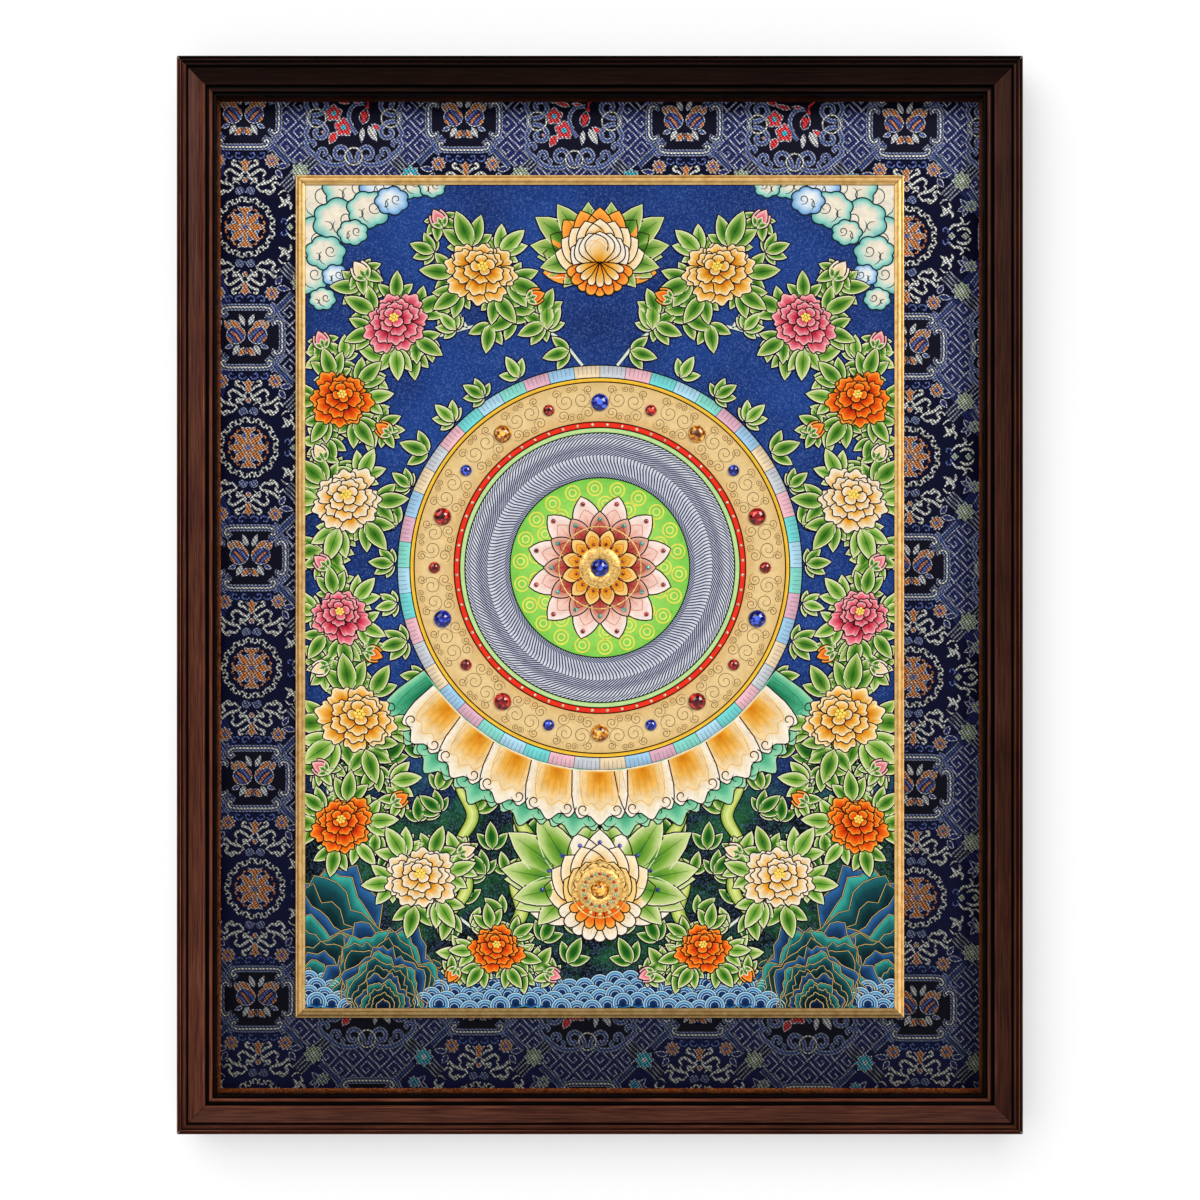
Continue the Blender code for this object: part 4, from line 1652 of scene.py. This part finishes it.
    def undergrowth(self) -> None:
        """Paints dark leaves all over the green ground."""
        for _ in self.both_sides("low_leaves"):
            for row, column in itertools.product(range(8), range(9)):
                x = 14 + 23 * column + 11 * (row % 2) + self.chance.uniform(-5, 5)
                z = -112 - 21 * row + self.chance.uniform(-5, 5)
                heading, length = self.chance.uniform(40, 140), self.chance.uniform(15, 21)
                on_wheel = math.hypot(x - self.wheel[0], z - self.wheel[1]) <= self.rim + 8
                on_rocks = x > 112 and z < -150 - 0.9 * (200 - x)
                if x < 200 and not on_wheel and not on_rocks:
                    self.sprig((x, z), heading, length, 0.012 * row, low=True)

    # The wheel

    def spirals(self, inner: float, outer: float, height: float) -> None:
        """Fills the gold ring with fine brown spirals between its stones.

        Args:
            inner: The ring's inner radius.
            outer: The ring's outer radius.
            height: Their level.
        """
        pen = Pen("#6d4a24", 0.45)
        middle_radius, half = (inner + outer) / 2, (outer - inner) / 2
        for k, side in itertools.product(range(20), (1, -1)):
            for turn, offset, radius, start in SPIRALS:
                angle = 18 * k + 9 + side * turn
                spot = ways(angle + 90) * (middle_radius + offset * half) + self.wheel
                path = curl(spot, radius * half, start + angle, side * 620, 0.12)
                self.figures["lines"].line(path, pen, height, 0.4)

    def rainbow(self, inner: float, outer: float, height: float) -> None:
        """Paints the segmented band, each segment hatched from one edge.

        Args:
            inner: Its inner radius.
            outer: Its outer radius.
            height: Its level.
        """
        figure, lines = self.figures["wheel"], self.figures["lines"]
        tints = ("#a8d4e6", "#6fd0cc", "#e8b4bc", "#c4c8cc", "#e6cfa8", "#9cc4e0", "#d8a8b8", "#84d4c4")
        count = 48
        radii = (inner + (outer - inner) * np.linspace(0, 1, 3))[:, None, None]
        shades = np.array([1.15, 1.0, 0.8])[:, None, None]
        reach = np.array([[outer], [outer - (outer - inner) * 0.7]])
        for k in range(count):
            edges = ways(np.linspace(360 * k / count, 360 * (k + 1) / count, 4))
            flat = edges[None] * radii + self.wheel
            figure.grid(flat, height, np.clip(shades * linear(tints[k % len(tints)]), 0, 1))
            lines.line(flat[:, 0], Pen("#57606a", 0.5), height + 0.02)
            for hatch in range(1, 6):
                path = ways(360 * (k + hatch / 6) / count) * reach + self.wheel
                lines.line(path, Pen("#6a6f86", 0.3), height + 0.02)

    def nimbus(self, inner: float, outer: float, height: float) -> None:
        """Paints fine wavy rays on a pale ring.

        Args:
            inner: The ring's inner radius.
            outer: The ring's outer radius.
            height: Its level.
        """
        self.figures["wheel"].band(inner, outer, self.wheel, ((0, "#c9ccd6"), (1, "#dcdde0")), height)
        share = np.linspace(0, 1, 9)
        sweep = 9 * np.sin(share * math.pi * 1.3) + 1.0 * np.sin(share * math.pi * 5)
        radii = (inner + (outer - inner) * share)[:, None]
        count = 200
        for k in range(count):
            path = ways(360 * k / count + sweep) * radii + self.wheel
            self.figures["lines"].line(path, Pen("#3a4264", 0.95), height + 0.02, 0.75)

    def petal_ring(
        self, count: int, start: float, inner: float, outer: float, width: float, ramp: Ramp, height: float
    ) -> None:
        """Paints a ring of pointed petals, each with an inner contour and veins.

        Args:
            count: How many petals there are.
            start: The first one's angle, in degrees.
            inner: The radius that they start from.
            outer: The radius of their tips.
            width: How wide a petal is.
            ramp: Their colours from root to rim.
            height: Their level.
        """
        figure = self.figures["wheel"]
        length = outer - inner
        for k in range(count):
            angle, level = start + 360 * k / count, height + (k % 2) * 0.05
            root = ways(angle) * (inner + length * 0.12) + self.wheel
            for share, pen in ((1.0, OUTLINE), (0.74, Pen(ramp[0][1], VEIN))):
                shape = pointed(length * share, width * share, 1.25, 13) + (inner, 0)
                outline = turned(shape, angle) + self.wheel
                if share == 1.0:
                    figure.patch(outline, ramp, level, DOME, root=root, rings=4)
                figure.line(outline, pen, level + OVER, closed=True)
            for turn in (-0.22, 0.0, 0.22):
                path = [(inner + length * s, turn * width * math.sin(s * math.pi)) for s in (0.2, 0.42, 0.62)]
                figure.line(turned(path, angle) + self.wheel, Pen(ramp[0][1], 0.4), level + OVER, 0.3)

    def lotus_wheel(self) -> None:
        """Paints the wheel from its rim to its hub."""
        figure, base = self.figures["wheel"], self.levels.wheel
        self.rainbow(131.5, self.rim, base)
        # Each band: its inner and outer radius, its height above the lowest, and its colours
        bands: tuple[tuple[float, float, float, Ramp], ...] = (
            (128.6, 131.5, 0.03, ((0, "#e8a820"), (1, "#f6cc48"))),
            (101, 128.6, 0.0, ((0, "#d8b070"), (0.5, "#ecd098"), (1, "#dcb878"))),
            (97.0, 101, 0.04, ((0, "#d81c10"), (0.5, "#f03c24"), (1, "#d81c10"))),
            (93.4, 97.0, 0.02, ((0, "#9cc870"), (0.5, "#c8e4a0"), (1, "#a8d07c"))),
            (0.5, 62, 0.04, ((0, "#c8f08c"), (0.6, "#a4dc64"), (1, "#7cc84c"))),
        )
        for inner, outer, rise, ramp in bands:
            figure.band(inner, outer, self.wheel, ramp, base + rise)
        self.spirals(101.5, 128, base + 0.03)
        self.nimbus(62, 93.6, base)
        for radius in (140.2, 131.5, 128.6, 101.0, 97.0, 93.4, 62.2):
            figure.line(ring_points(radius, 180) + self.wheel, OUTLINE_DARK, base + 0.08, closed=True)
        for count, radius in ((22, 55.0), (17, 44.5)):
            for spot in ring_points(radius, count, 5 * count) + self.wheel:
                for size, pen in ((5.0, Pen("#e6dc58", 1.1)), (2.4, Pen("#ece470", 0.9))):
                    figure.line(ring_points(size, 14) + spot, pen, base + 0.08, closed=True)
        self.petal_ring(12, 15, 14, 51, 19, LOTUS_PALE, base + 0.16)
        self.petal_ring(12, 0, 12, 39, 13.5, LOTUS_ROSE, base + 0.30)
        self.petal_ring(12, 15, 10, 27, 10.5, LOTUS_GOLD, base + 0.44)
        self.boss(self.wheel, 6.25, 14.0, 0.5)
        gold = self.figures["gold"]
        for k in range(24):
            ray = turned([(7.2, 0), (13.2, 0)], 15 * k) + self.wheel
            gold.line(ray, Pen("#a87830", 0.5, 0.15), 1.2)
        for radius in (14.2, 28.5):
            gold.line(ring_points(radius, 72) + self.wheel, Pen(GILT, 0.9, 0.3), 0.45, closed=True)

    def boss(self, middle: Spot, inner: float, outer: float, foot: float) -> None:
        """Piles up a rounded gilt ring round a stone.

        Args:
            middle: Its centre.
            inner: Its inner radius.
            outer: Its outer radius.
            foot: The height of its foot.
        """
        rows = np.linspace(0, 1, 7)
        flat = ring_points(1.0, 48)[None] * (inner + (outer - inner) * rows)[:, None, None] + middle
        heights = foot + 0.9 * np.sin(math.pi * rows) ** 0.7
        self.figures["gold"].grid(flat, heights[:, None], np.array(linear(GILT)), closed=True)

    def rim_petals(self, count: int, fan: float, length: float, ramp: Ramp, height: float) -> None:
        """Paints broad curled petals that open downwards from the wheel's rim.

        Args:
            count: How many petals there are.
            fan: The angle that they fill together, in degrees.
            length: How far they reach from the rim.
            ramp: Their colours from root to rim.
            height: The lowest one's level.
        """
        figure = self.figures["blossoms"]
        foot, half = self.rim + 1.2, fan / count * 0.66
        share = np.linspace(-1, 1, 23)
        reach = (1 - np.abs(share) ** 3.4) ** 0.5 * (0.92 + 0.08 * np.cos(3 * math.pi * share))
        for order, k in enumerate(outer_first(count)):
            middle = 270 + fan * ((k + 0.5) / count - 0.5)
            root = ways(middle) * (foot + 1) + self.wheel
            level = height + 0.018 * order
            for scale in (1.0, 0.72):
                spread = middle + share * half * scale
                outline = ways(spread) * (foot + length * scale * reach)[:, None] + self.wheel
                if scale == 1.0:
                    figure.patch(outline, ramp, level, DOME, root=root, rings=5)
                figure.line(outline, OUTLINE if scale == 1.0 else Pen(ramp[1][1], 0.5), level + OVER)
            for side in (1, -1):
                spot = ways(middle + side * half * 0.5) * (foot + length * 0.72) + self.wheel
                path = curl(spot, length * 0.13, middle - 60 * side, 400 * side)
                figure.line(path, OUTLINE, level + 0.05, 0.3)
            for turn in np.linspace(-0.6, 0.6, 7):
                ends = np.array([[foot + 2], [foot + length * 0.5]])
                path = ways(middle + turn * half) * ends + self.wheel
                figure.line(path, Pen(ramp[0][1], VEIN), level + 0.05, 0.4)

    # Lotuses, streamers, clouds and ground

    def open_lotus(self, x: float, z: float, scale: float, ramps: Sequence[Ramp]) -> None:
        """Paints a large open lotus.

        Args:
            x: Its middle, to the right.
            z: Its middle, upwards.
            scale: Its size.
            ramps: The colours of its tiers, from the back to the front.
        """
        figure = self.figures["blossoms"]
        root = np.array([x, z - 8 * scale])
        for (count, fan, length, width, height), ramp in zip(LOTUS_TIERS, ramps):
            for order, k in enumerate(outer_first(count)):
                angle = 90 - fan / 2 + fan * k / (count - 1)
                level = height + 0.02 * order
                outline = root + turned(pointed(length, width, 1.2, 13) * scale, angle)
                figure.patch(outline, ramp, level, DOME, root=root, rings=4)
                figure.line(outline, OUTLINE, level + OVER, closed=True)
                inner = root + turned(pointed(length * 0.78, width * 0.66, 1.2, 13) * scale, angle)
                figure.line(inner, Pen(ramp[1][1], VEIN), level + OVER, closed=True)
        for tier, (count, length, ramp) in enumerate(((9, 30, ramps[0]), (7, 22, ramps[3]))):
            for k in range(count):
                angle, level = 200 + 140 * k / (count - 1), 0.80 + 0.14 * tier + 0.05 * (k % 2)
                self.petal(root + (0, 2), angle, length * scale, 34, ramp, level, 0.08, 1)

    def lotuses(self) -> None:
        """Paints the lower lotus, which holds a stone, and the one on top of the vine."""
        x, z = self.lotus
        for k, (angle, length) in enumerate(((15, 40), (40, 44), (-8, 34), (62, 40))):
            for _ in self.both_sides("leaves"):
                self.sprig((x + 14, z + 4), angle, length * 1.3, -0.1 + 0.01 * k)
                self.sprig((6, 236), angle, length, -0.1 + 0.01 * k)
        self.open_lotus(x, z, 1.0, (PEONY_CREAM, PEONY_YELLOW, LOTUS_GOLD, PEONY_ORANGE))
        self.open_lotus(0, 236, 0.8, (PEONY_ORANGE, PEONY_YELLOW, PEONY_CREAM, PEONY_YELLOW))
        self.boss(self.lotus, 6.3, 15.5, 1.3)
        gold = self.figures["gold"]
        for spot in ring_points(17.0, 16) + self.lotus:
            gold.patch(ring_points(1.7, 9) + spot, GILT, 1.3, 0.9, rings=3)
        gold.line(ring_points(19.4, 60) + self.lotus, Pen(GILT, 0.9, 0.4), 1.1, closed=True)

    def streamers(self) -> None:
        """Paints silk streamers that fall from the wheel's petals and curl outwards."""
        figure, level = self.figures["scenery"], self.levels.streamers
        tones = np.array([linear(c) for c in ("#6c942c", "#a4c458", "#dce48c", "#b4cc60", "#78982f")])
        routes = (
            (((52, -126), (58, -150), (48, -172), (60, -196), (54, -218), (66, -236)), 10.0),
            (((86, -104), (98, -128), (88, -152), (100, -176), (92, -200), (104, -222)), 9.0),
        )
        for _ in self.both_sides("scenery"):
            for step, (controls, width) in enumerate(routes):
                path = smooth(controls, 9)
                way = np.gradient(path, axis=0)
                way /= np.linalg.norm(way, axis=1, keepdims=True)
                side = np.column_stack([-way[:, 1], way[:, 0]]) * width / 2
                share = np.linspace(0, 1, len(path))
                swell = (0.5 + 0.5 * np.abs(np.cos(share * math.pi * 2.5)))[:, None]
                flat = path[None] + side[None] * swell[None] * np.linspace(-1, 1, 5)[:, None, None]
                foot = level + 0.02 * step
                figure.grid(flat, foot, tones[:, None, :])
                for row, pen in ((0, OUTLINE_DARK), (4, OUTLINE_DARK), (1, GOLD_TRIM), (3, GOLD_TRIM)):
                    figure.line(flat[row], pen, foot + 0.02)
                heading = math.degrees(math.atan2(way[-1][1], way[-1][0]))
                tassel = path[-1] + turned(pointed(13, 8), heading)
                figure.patch(tassel, ((0, "#e88830"), (1, "#f8d070")), foot + 0.03, 0.02, rings=2)
                figure.line(tassel, OUTLINE, foot + 0.06, closed=True)

    def clouds(self) -> None:
        """Paints scalloped clouds in the upper corners."""
        figure = self.figures["scenery"]
        for _ in self.both_sides("scenery"):
            for k, (x, z, radius) in enumerate(CLOUD_LOBES):
                middle = np.array([x, z], float)
                bumps = 0.88 + 0.14 * np.abs(np.sin(np.arange(60) * math.pi / 60 * 7 + k))
                outline = middle + ring_points(1.0, 60) * (1.12, 0.94) * (radius * 1.06 * bumps)[:, None]
                height = self.levels.clouds + 0.02 * k
                ramp = CLOUD_BLUE if k in (2, 8, 13) else CLOUD
                figure.patch(outline, ramp, height, 0.01, root=middle + radius * 0.25, rings=4)
                figure.line(outline, Pen("#1c2830", 1.0), height + 0.012, closed=True)
                for share, start, sweep, spot in CLOUD_CURLS:
                    heart = middle + np.array(spot) * radius
                    path = curl(heart, radius * share, start + 20 * (k % 3), sweep, 0.3)
                    figure.line(path, Pen("#24464c", 0.75), height + 0.015, 0.4)

    def rocks(self) -> None:
        """Paints craggy layered rocks with gold contours in the lower corners."""
        figure = self.figures["scenery"]
        rows = np.array([0.0, 0.62, 0.8, 0.92, 1.0])
        angles = np.linspace(0, 180, 31)
        for _ in self.both_sides("scenery"):
            height = self.levels.rocks
            for x, tall, half_width in ((108, 36, 36), (206, 104, 88), (150, 62, 46)):
                foot = np.array([x, -286.0])
                for layer, share in enumerate(np.linspace(1.0, 0.12, 13)):
                    crags = np.array([self.chance.uniform(0.80, 1.08) for _ in angles])
                    crags = 0.5 * crags + 0.5 * (0.95 + 0.14 * np.sin(np.radians(angles) * 7 + layer * 0.8))
                    rim = foot + ways(angles) * (half_width, tall) * (share * crags)[:, None]
                    ramp = ROCK_RAMPS[(layer * 3 + x) % len(ROCK_RAMPS)]
                    flat = foot + (rim - foot)[None] * rows[:, None, None]
                    colours = ramp_colours(ramp, np.array([0.0, 0.1, 0.4, 0.7, 1.0]))[:, None, :]
                    figure.grid(flat, height, colours)
                    figure.line(rim, Pen("#080a10", 1.3), height + 0.006)
                    figure.line(rim, Pen("#ccb070", 0.45), height + 0.012)
                    height += 0.014

    def waves(self) -> None:
        """Paints rows of scalloped waves along the bottom edge."""
        figure = self.figures["scenery"]
        ramp: Ramp = ((0.0, "#041434"), (0.5, "#0c3668"), (0.85, "#2470a8"), (1.0, "#5ca4c8"))
        pitch, radius = 10.6, 6.7
        arc = ways(np.linspace(-20, 200, 15))
        for row, k in itertools.product(range(4), range(-20, 21)):
            middle = np.array([(k + 0.5 * (row % 2)) * pitch, -268.5 - 5.0 * row + 3.0 * math.sin(k * 0.9)])
            height = 0.36 + 0.03 * row + 0.012 * (k % 2)
            outline = np.vstack([middle + arc * radius, middle + (0.0, -5.0)])
            figure.patch(outline, ramp, height, 0.0, root=middle + (0.0, -1.5), rings=4)
            figure.line(middle + arc * radius * 1.06, Pen("#0a1c40", 0.7), height + 0.004)
            for share, width in ((1.0, 0.5), (0.72, 0.35), (0.46, 0.35)):
                figure.line(middle + arc * radius * share, Pen("#ccdfe4", width), height + 0.010)

    def build(self) -> bpy.types.Object:
        """Makes the canvas and everything painted on it.

        Returns:
            The canvas.
        """
        mesh = slab("painted_canvas", self.low, self.high, self.cell, lambda x, z: 0.0)
        canvas = place(mesh, "painted_canvas", MineralGround().build(), "painted_canvas")
        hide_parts(self.node)
        self.rocks()
        self.waves()
        self.clouds()
        self.undergrowth()
        self.lotus_wheel()
        self.streamers()
        self.rim_petals(10, 116, 46, SEPAL, self.levels.rim_petals)
        self.rim_petals(9, 106, 37, PEONY_CREAM, self.levels.rim_petals + 0.2)
        self.vine()
        self.lotuses()
        paint, gold = BodyPaint().build(), RaisedGold().build()
        for part, figure in self.figures.items():
            name, material = f"painted_{part}", gold if part == "gold" else paint
            place(figure.mesh(name), name, material, "painted_canvas")
        return canvas


# ---------------------------------------------------------------- stones


class Tint(Enum):
    """The colours of the glued stones, each a dark, a mid and a bright tone for the facets' painted
    reflections.
    """

    RED = FoiledStone("red", ("#1c0002", "#8c060c", "#e8402c"))
    BLUE = FoiledStone("blue", ("#020226", "#0c1684", "#4c6cf0"))
    AMBER = FoiledStone("amber", ("#401a02", "#c06c08", "#ffcc5c"))
    TEAL = FoiledStone("teal", ("#024038", "#10a89c", "#8cf0e0"))
    CLEAR = FoiledStone("clear", ("#6c5a40", "#e0c898", "#fff6e0"))


@dataclass
class Stones:
    """The large glued stones, which keep their solids, and the small ones round them."""

    canvas: Canvas
    seat: float = 0.35  # mm above the canvas, where a small stone's back lies
    # The rows of a small stone's corners: radius and height, as shares of its radius and diameter
    rows: tuple[tuple[float, float], ...] = ((1.0, 0.0), (0.98, 0.12), (0.62, 0.36), (0.3, 0.42))
    materials: dict[Tint, bpy.types.Material] = field(init=False)

    def __post_init__(self) -> None:
        """Makes the materials."""
        self.materials = {tint: tint.value.build() for tint in Tint}

    def dress(self, nodes: dict[str, bpy.types.Object]) -> None:
        """Gives each large stone the material of its slot.

        Args:
            nodes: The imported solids, by name.
        """
        for name, solid in nodes.items():
            if name.startswith("stone_"):
                slot = solid.data.materials[0].name.split(".")[0]
                solid.data.materials[0] = self.materials[Tint[slot.upper()]]
        log.info("large stones: dressed")

    def scatter(self, part: str, spots: np.ndarray, diameter: float, tint: Tint, level: float) -> None:
        """Glues small faceted stones at those places.

        Args:
            part: What they lie on, for the piece's name.
            spots: Places on the canvas, in millimetres.
            diameter: Their diameter.
            tint: Their colour.
            level: The height of their backs above the canvas.
        """
        figure, radius = self.canvas.blank(), diameter / 2
        heights = np.array([level + rise * diameter for _, rise in self.rows])[:, None]
        for k, spot in enumerate(spots):
            rings = [ring_points(radius * share, 8, 7 * k) + spot for share, _ in self.rows]
            figure.grid(np.array(rings), heights, np.ones(3), closed=True)
            figure.patch(rings[-1], "#ffffff", heights[-1, 0], rings=1)
        name = f"small_stones_{part}"
        mesh = figure.mesh(name)
        mesh.polygons.foreach_set("use_smooth", np.zeros(len(mesh.polygons), bool))
        slot = {Tint.RED: "red", Tint.BLUE: "blue"}.get(tint, "amber")
        place(mesh, name, self.materials[tint], slot)

    def build(self) -> None:
        """Glues the small stones on the wheel and the lower lotus."""
        wheel, lotus, seat = self.canvas.wheel, self.canvas.lotus, self.seat
        self.scatter("rim", ring_points(99, 60, 3) + wheel, 2.2, Tint.CLEAR, 0.10)
        self.scatter("petals", ring_points(45.5, 12, 15) + wheel, 3.4, Tint.RED, seat)
        self.scatter("rose", ring_points(33.5, 12) + wheel, 3.0, Tint.TEAL, seat + 0.1)
        self.scatter("hub", ring_points(16.6, 24) + wheel, 2.4, Tint.RED, seat + 0.2)
        self.scatter("lotus", ring_points(11.2, 12) + lotus, 2.6, Tint.RED, 1.8)
        self.scatter("lotus_teal", ring_points(11.2, 12, 15) + lotus, 2.2, Tint.TEAL, 1.8)
        tips = lotus + ways(-8 + 19.6 * np.arange(1, 10)) * 41 + (0, -8)
        self.scatter("tips", tips, 3.0, Tint.BLUE, 0.75)


# ---------------------------------------------------------------- room and camera


@dataclass(frozen=True)
class Studio:
    """A back-lit pale wall and a floor, soft lamps and the camera."""

    wall_grey: str = "#bababa"
    wall_glow: float = 0.34
    wall_size: float = 6.0  # m, also the floor's
    wall_gap: float = 0.0006  # m, behind the picture's back
    floor_drop: float = 0.75  # m below the picture's middle
    middle: float = -0.358  # m, the height of the picture's middle
    camera_drop: float = 0.0034  # m, the photograph's middle lies this far below the picture's middle
    camera_side: float = 0.0001  # m, and this far to its right
    daylight: float = 0.12
    # Each lamp: its name, where it shines from, how wide it looks in degrees, and its strength
    lamps: tuple[Lamp, ...] = (
        ("key", (0.75, -1.05, 0.62), 26, 2.25),
        ("side", (-0.55, -1.0, 0.60), 40, 1.30),
        ("front", (0.0, -1.0, 0.10), 60, 0.30),
        ("behind", (0.5, 1.0, 0.7), 40, 1.6),
    )
    # The lamp that lights the wall alone, so that the picture's shadow falls to the lower right
    wall_lamp: Lamp = ("wall_wash", (-0.38, -1.0, 0.56), 84, 4.1)

    def sheet(self, name: str, upwards: Vector, middle: Vector) -> bpy.types.Object:
        """Makes one large flat square.

        Args:
            name: Its name.
            upwards: The way of its sides that don't run along X, of length 1.
            middle: Its middle.

        Returns:
            The square.
        """
        half = self.wall_size / 2
        across, along = Vector((half, 0, 0)), upwards * half
        corners = [middle + across * a + along * u for a, u in ((-1, -1), (1, -1), (1, 1), (-1, 1))]
        mesh = bpy.data.meshes.new(name)
        mesh.from_pydata(corners, [], [(0, 1, 2, 3)])
        return add_object(name, mesh)

    def wall(self) -> bpy.types.Object:
        """Makes the wall, which a camera behind it sees through.

        Returns:
            The wall.
        """
        paper = {"Base_Color": rgba(self.wall_grey), "Roughness": 0.9, "Emission_Strength": self.wall_glow}
        material, add, _ = new_material("back_lit_paper", **paper)
        tree = material.node_tree
        behind = add("NewGeometry", out="Backfacing")
        front = tree.nodes["Principled BSDF"].outputs[0]
        mixed = add("MixShader", {0: behind, 1: front, 2: add("BsdfTransparent")})
        tree.links.new(mixed, tree.nodes["Material Output"].inputs["Surface"])
        made = self.sheet("wall", Vector((0, 0, 1)), Vector((0, self.wall_gap, self.middle)))
        made.data.materials.append(material)
        made.visible_shadow = made.visible_diffuse = made.visible_glossy = False
        return made

    def floor(self) -> bpy.types.Object:
        """Makes the floor below the picture.

        Returns:
            The floor.
        """
        made = self.sheet("floor", Vector((0, 1, 0)), Vector((0, 0, self.middle - self.floor_drop)))
        material, _, _ = new_material("pale_floor", Base_Color=rgba("#ececec"), Roughness=0.85)
        made.data.materials.append(material)
        return made

    def light(self) -> None:
        """Lights the picture from both upper sides, weakly from behind the wall, and the wall by itself."""
        for name, come_from, softness, strength in (*self.lamps, self.wall_lamp):
            data = bpy.data.lights.new(name, "SUN")
            data.angle, data.energy = math.radians(softness), strength
            made = add_object(name, data)
            made.rotation_mode = "QUATERNION"
            made.rotation_quaternion = Vector(come_from).to_track_quat("Z", "Y")
            lit = bpy.data.collections.new(f"lit_by_{name}")
            lit.objects.link(bpy.data.objects["wall"])
            state = "INCLUDE" if name == self.wall_lamp[0] else "EXCLUDE"
            lit.collection_objects[0].light_linking.link_state = state
            made.light_linking.receiver_collection = lit
        world = bpy.data.worlds.new("pale_room")
        bpy.context.scene.world = world
        world.use_nodes = True
        background = world.node_tree.nodes["Background"]
        background.inputs["Color"].default_value = (1.0, 1.0, 1.0, 1.0)
        background.inputs["Strength"].default_value = self.daylight

    def camera(self) -> None:
        """Places the camera straight in front, with the photograph's frame."""
        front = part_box("rail_top")[0].y
        data = bpy.data.cameras.new("camera")
        wide = PHOTO_PIXELS * PHOTO_MM_PER_PIXEL * MM
        data.lens = data.sensor_width * VIEW_DISTANCE / wide
        made = add_object("camera", data)
        made.location = (self.camera_side, front - VIEW_DISTANCE, self.middle - self.camera_drop)
        made.rotation_euler = (math.radians(90), 0, 0)
        bpy.context.scene.camera = made

    def build(self) -> None:
        """Sets the stage."""
        self.floor()
        self.wall()
        self.light()
        self.camera()
        bpy.context.scene.view_settings.view_transform = "Standard"
        log.info("studio: wall, floor, lamps and camera")


def main() -> None:
    """Builds the picture from the wall forwards, and then the room."""
    logging.basicConfig(level=logging.INFO, format="%(name)s: %(message)s")
    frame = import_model()
    Mouldings().dress(frame["nodes"])
    Brocade().build()
    canvas = Canvas()
    canvas.build()
    stones = Stones(canvas)
    stones.dress(frame["nodes"])
    stones.build()
    Studio().build()


if __name__ == "__main__":
    main()
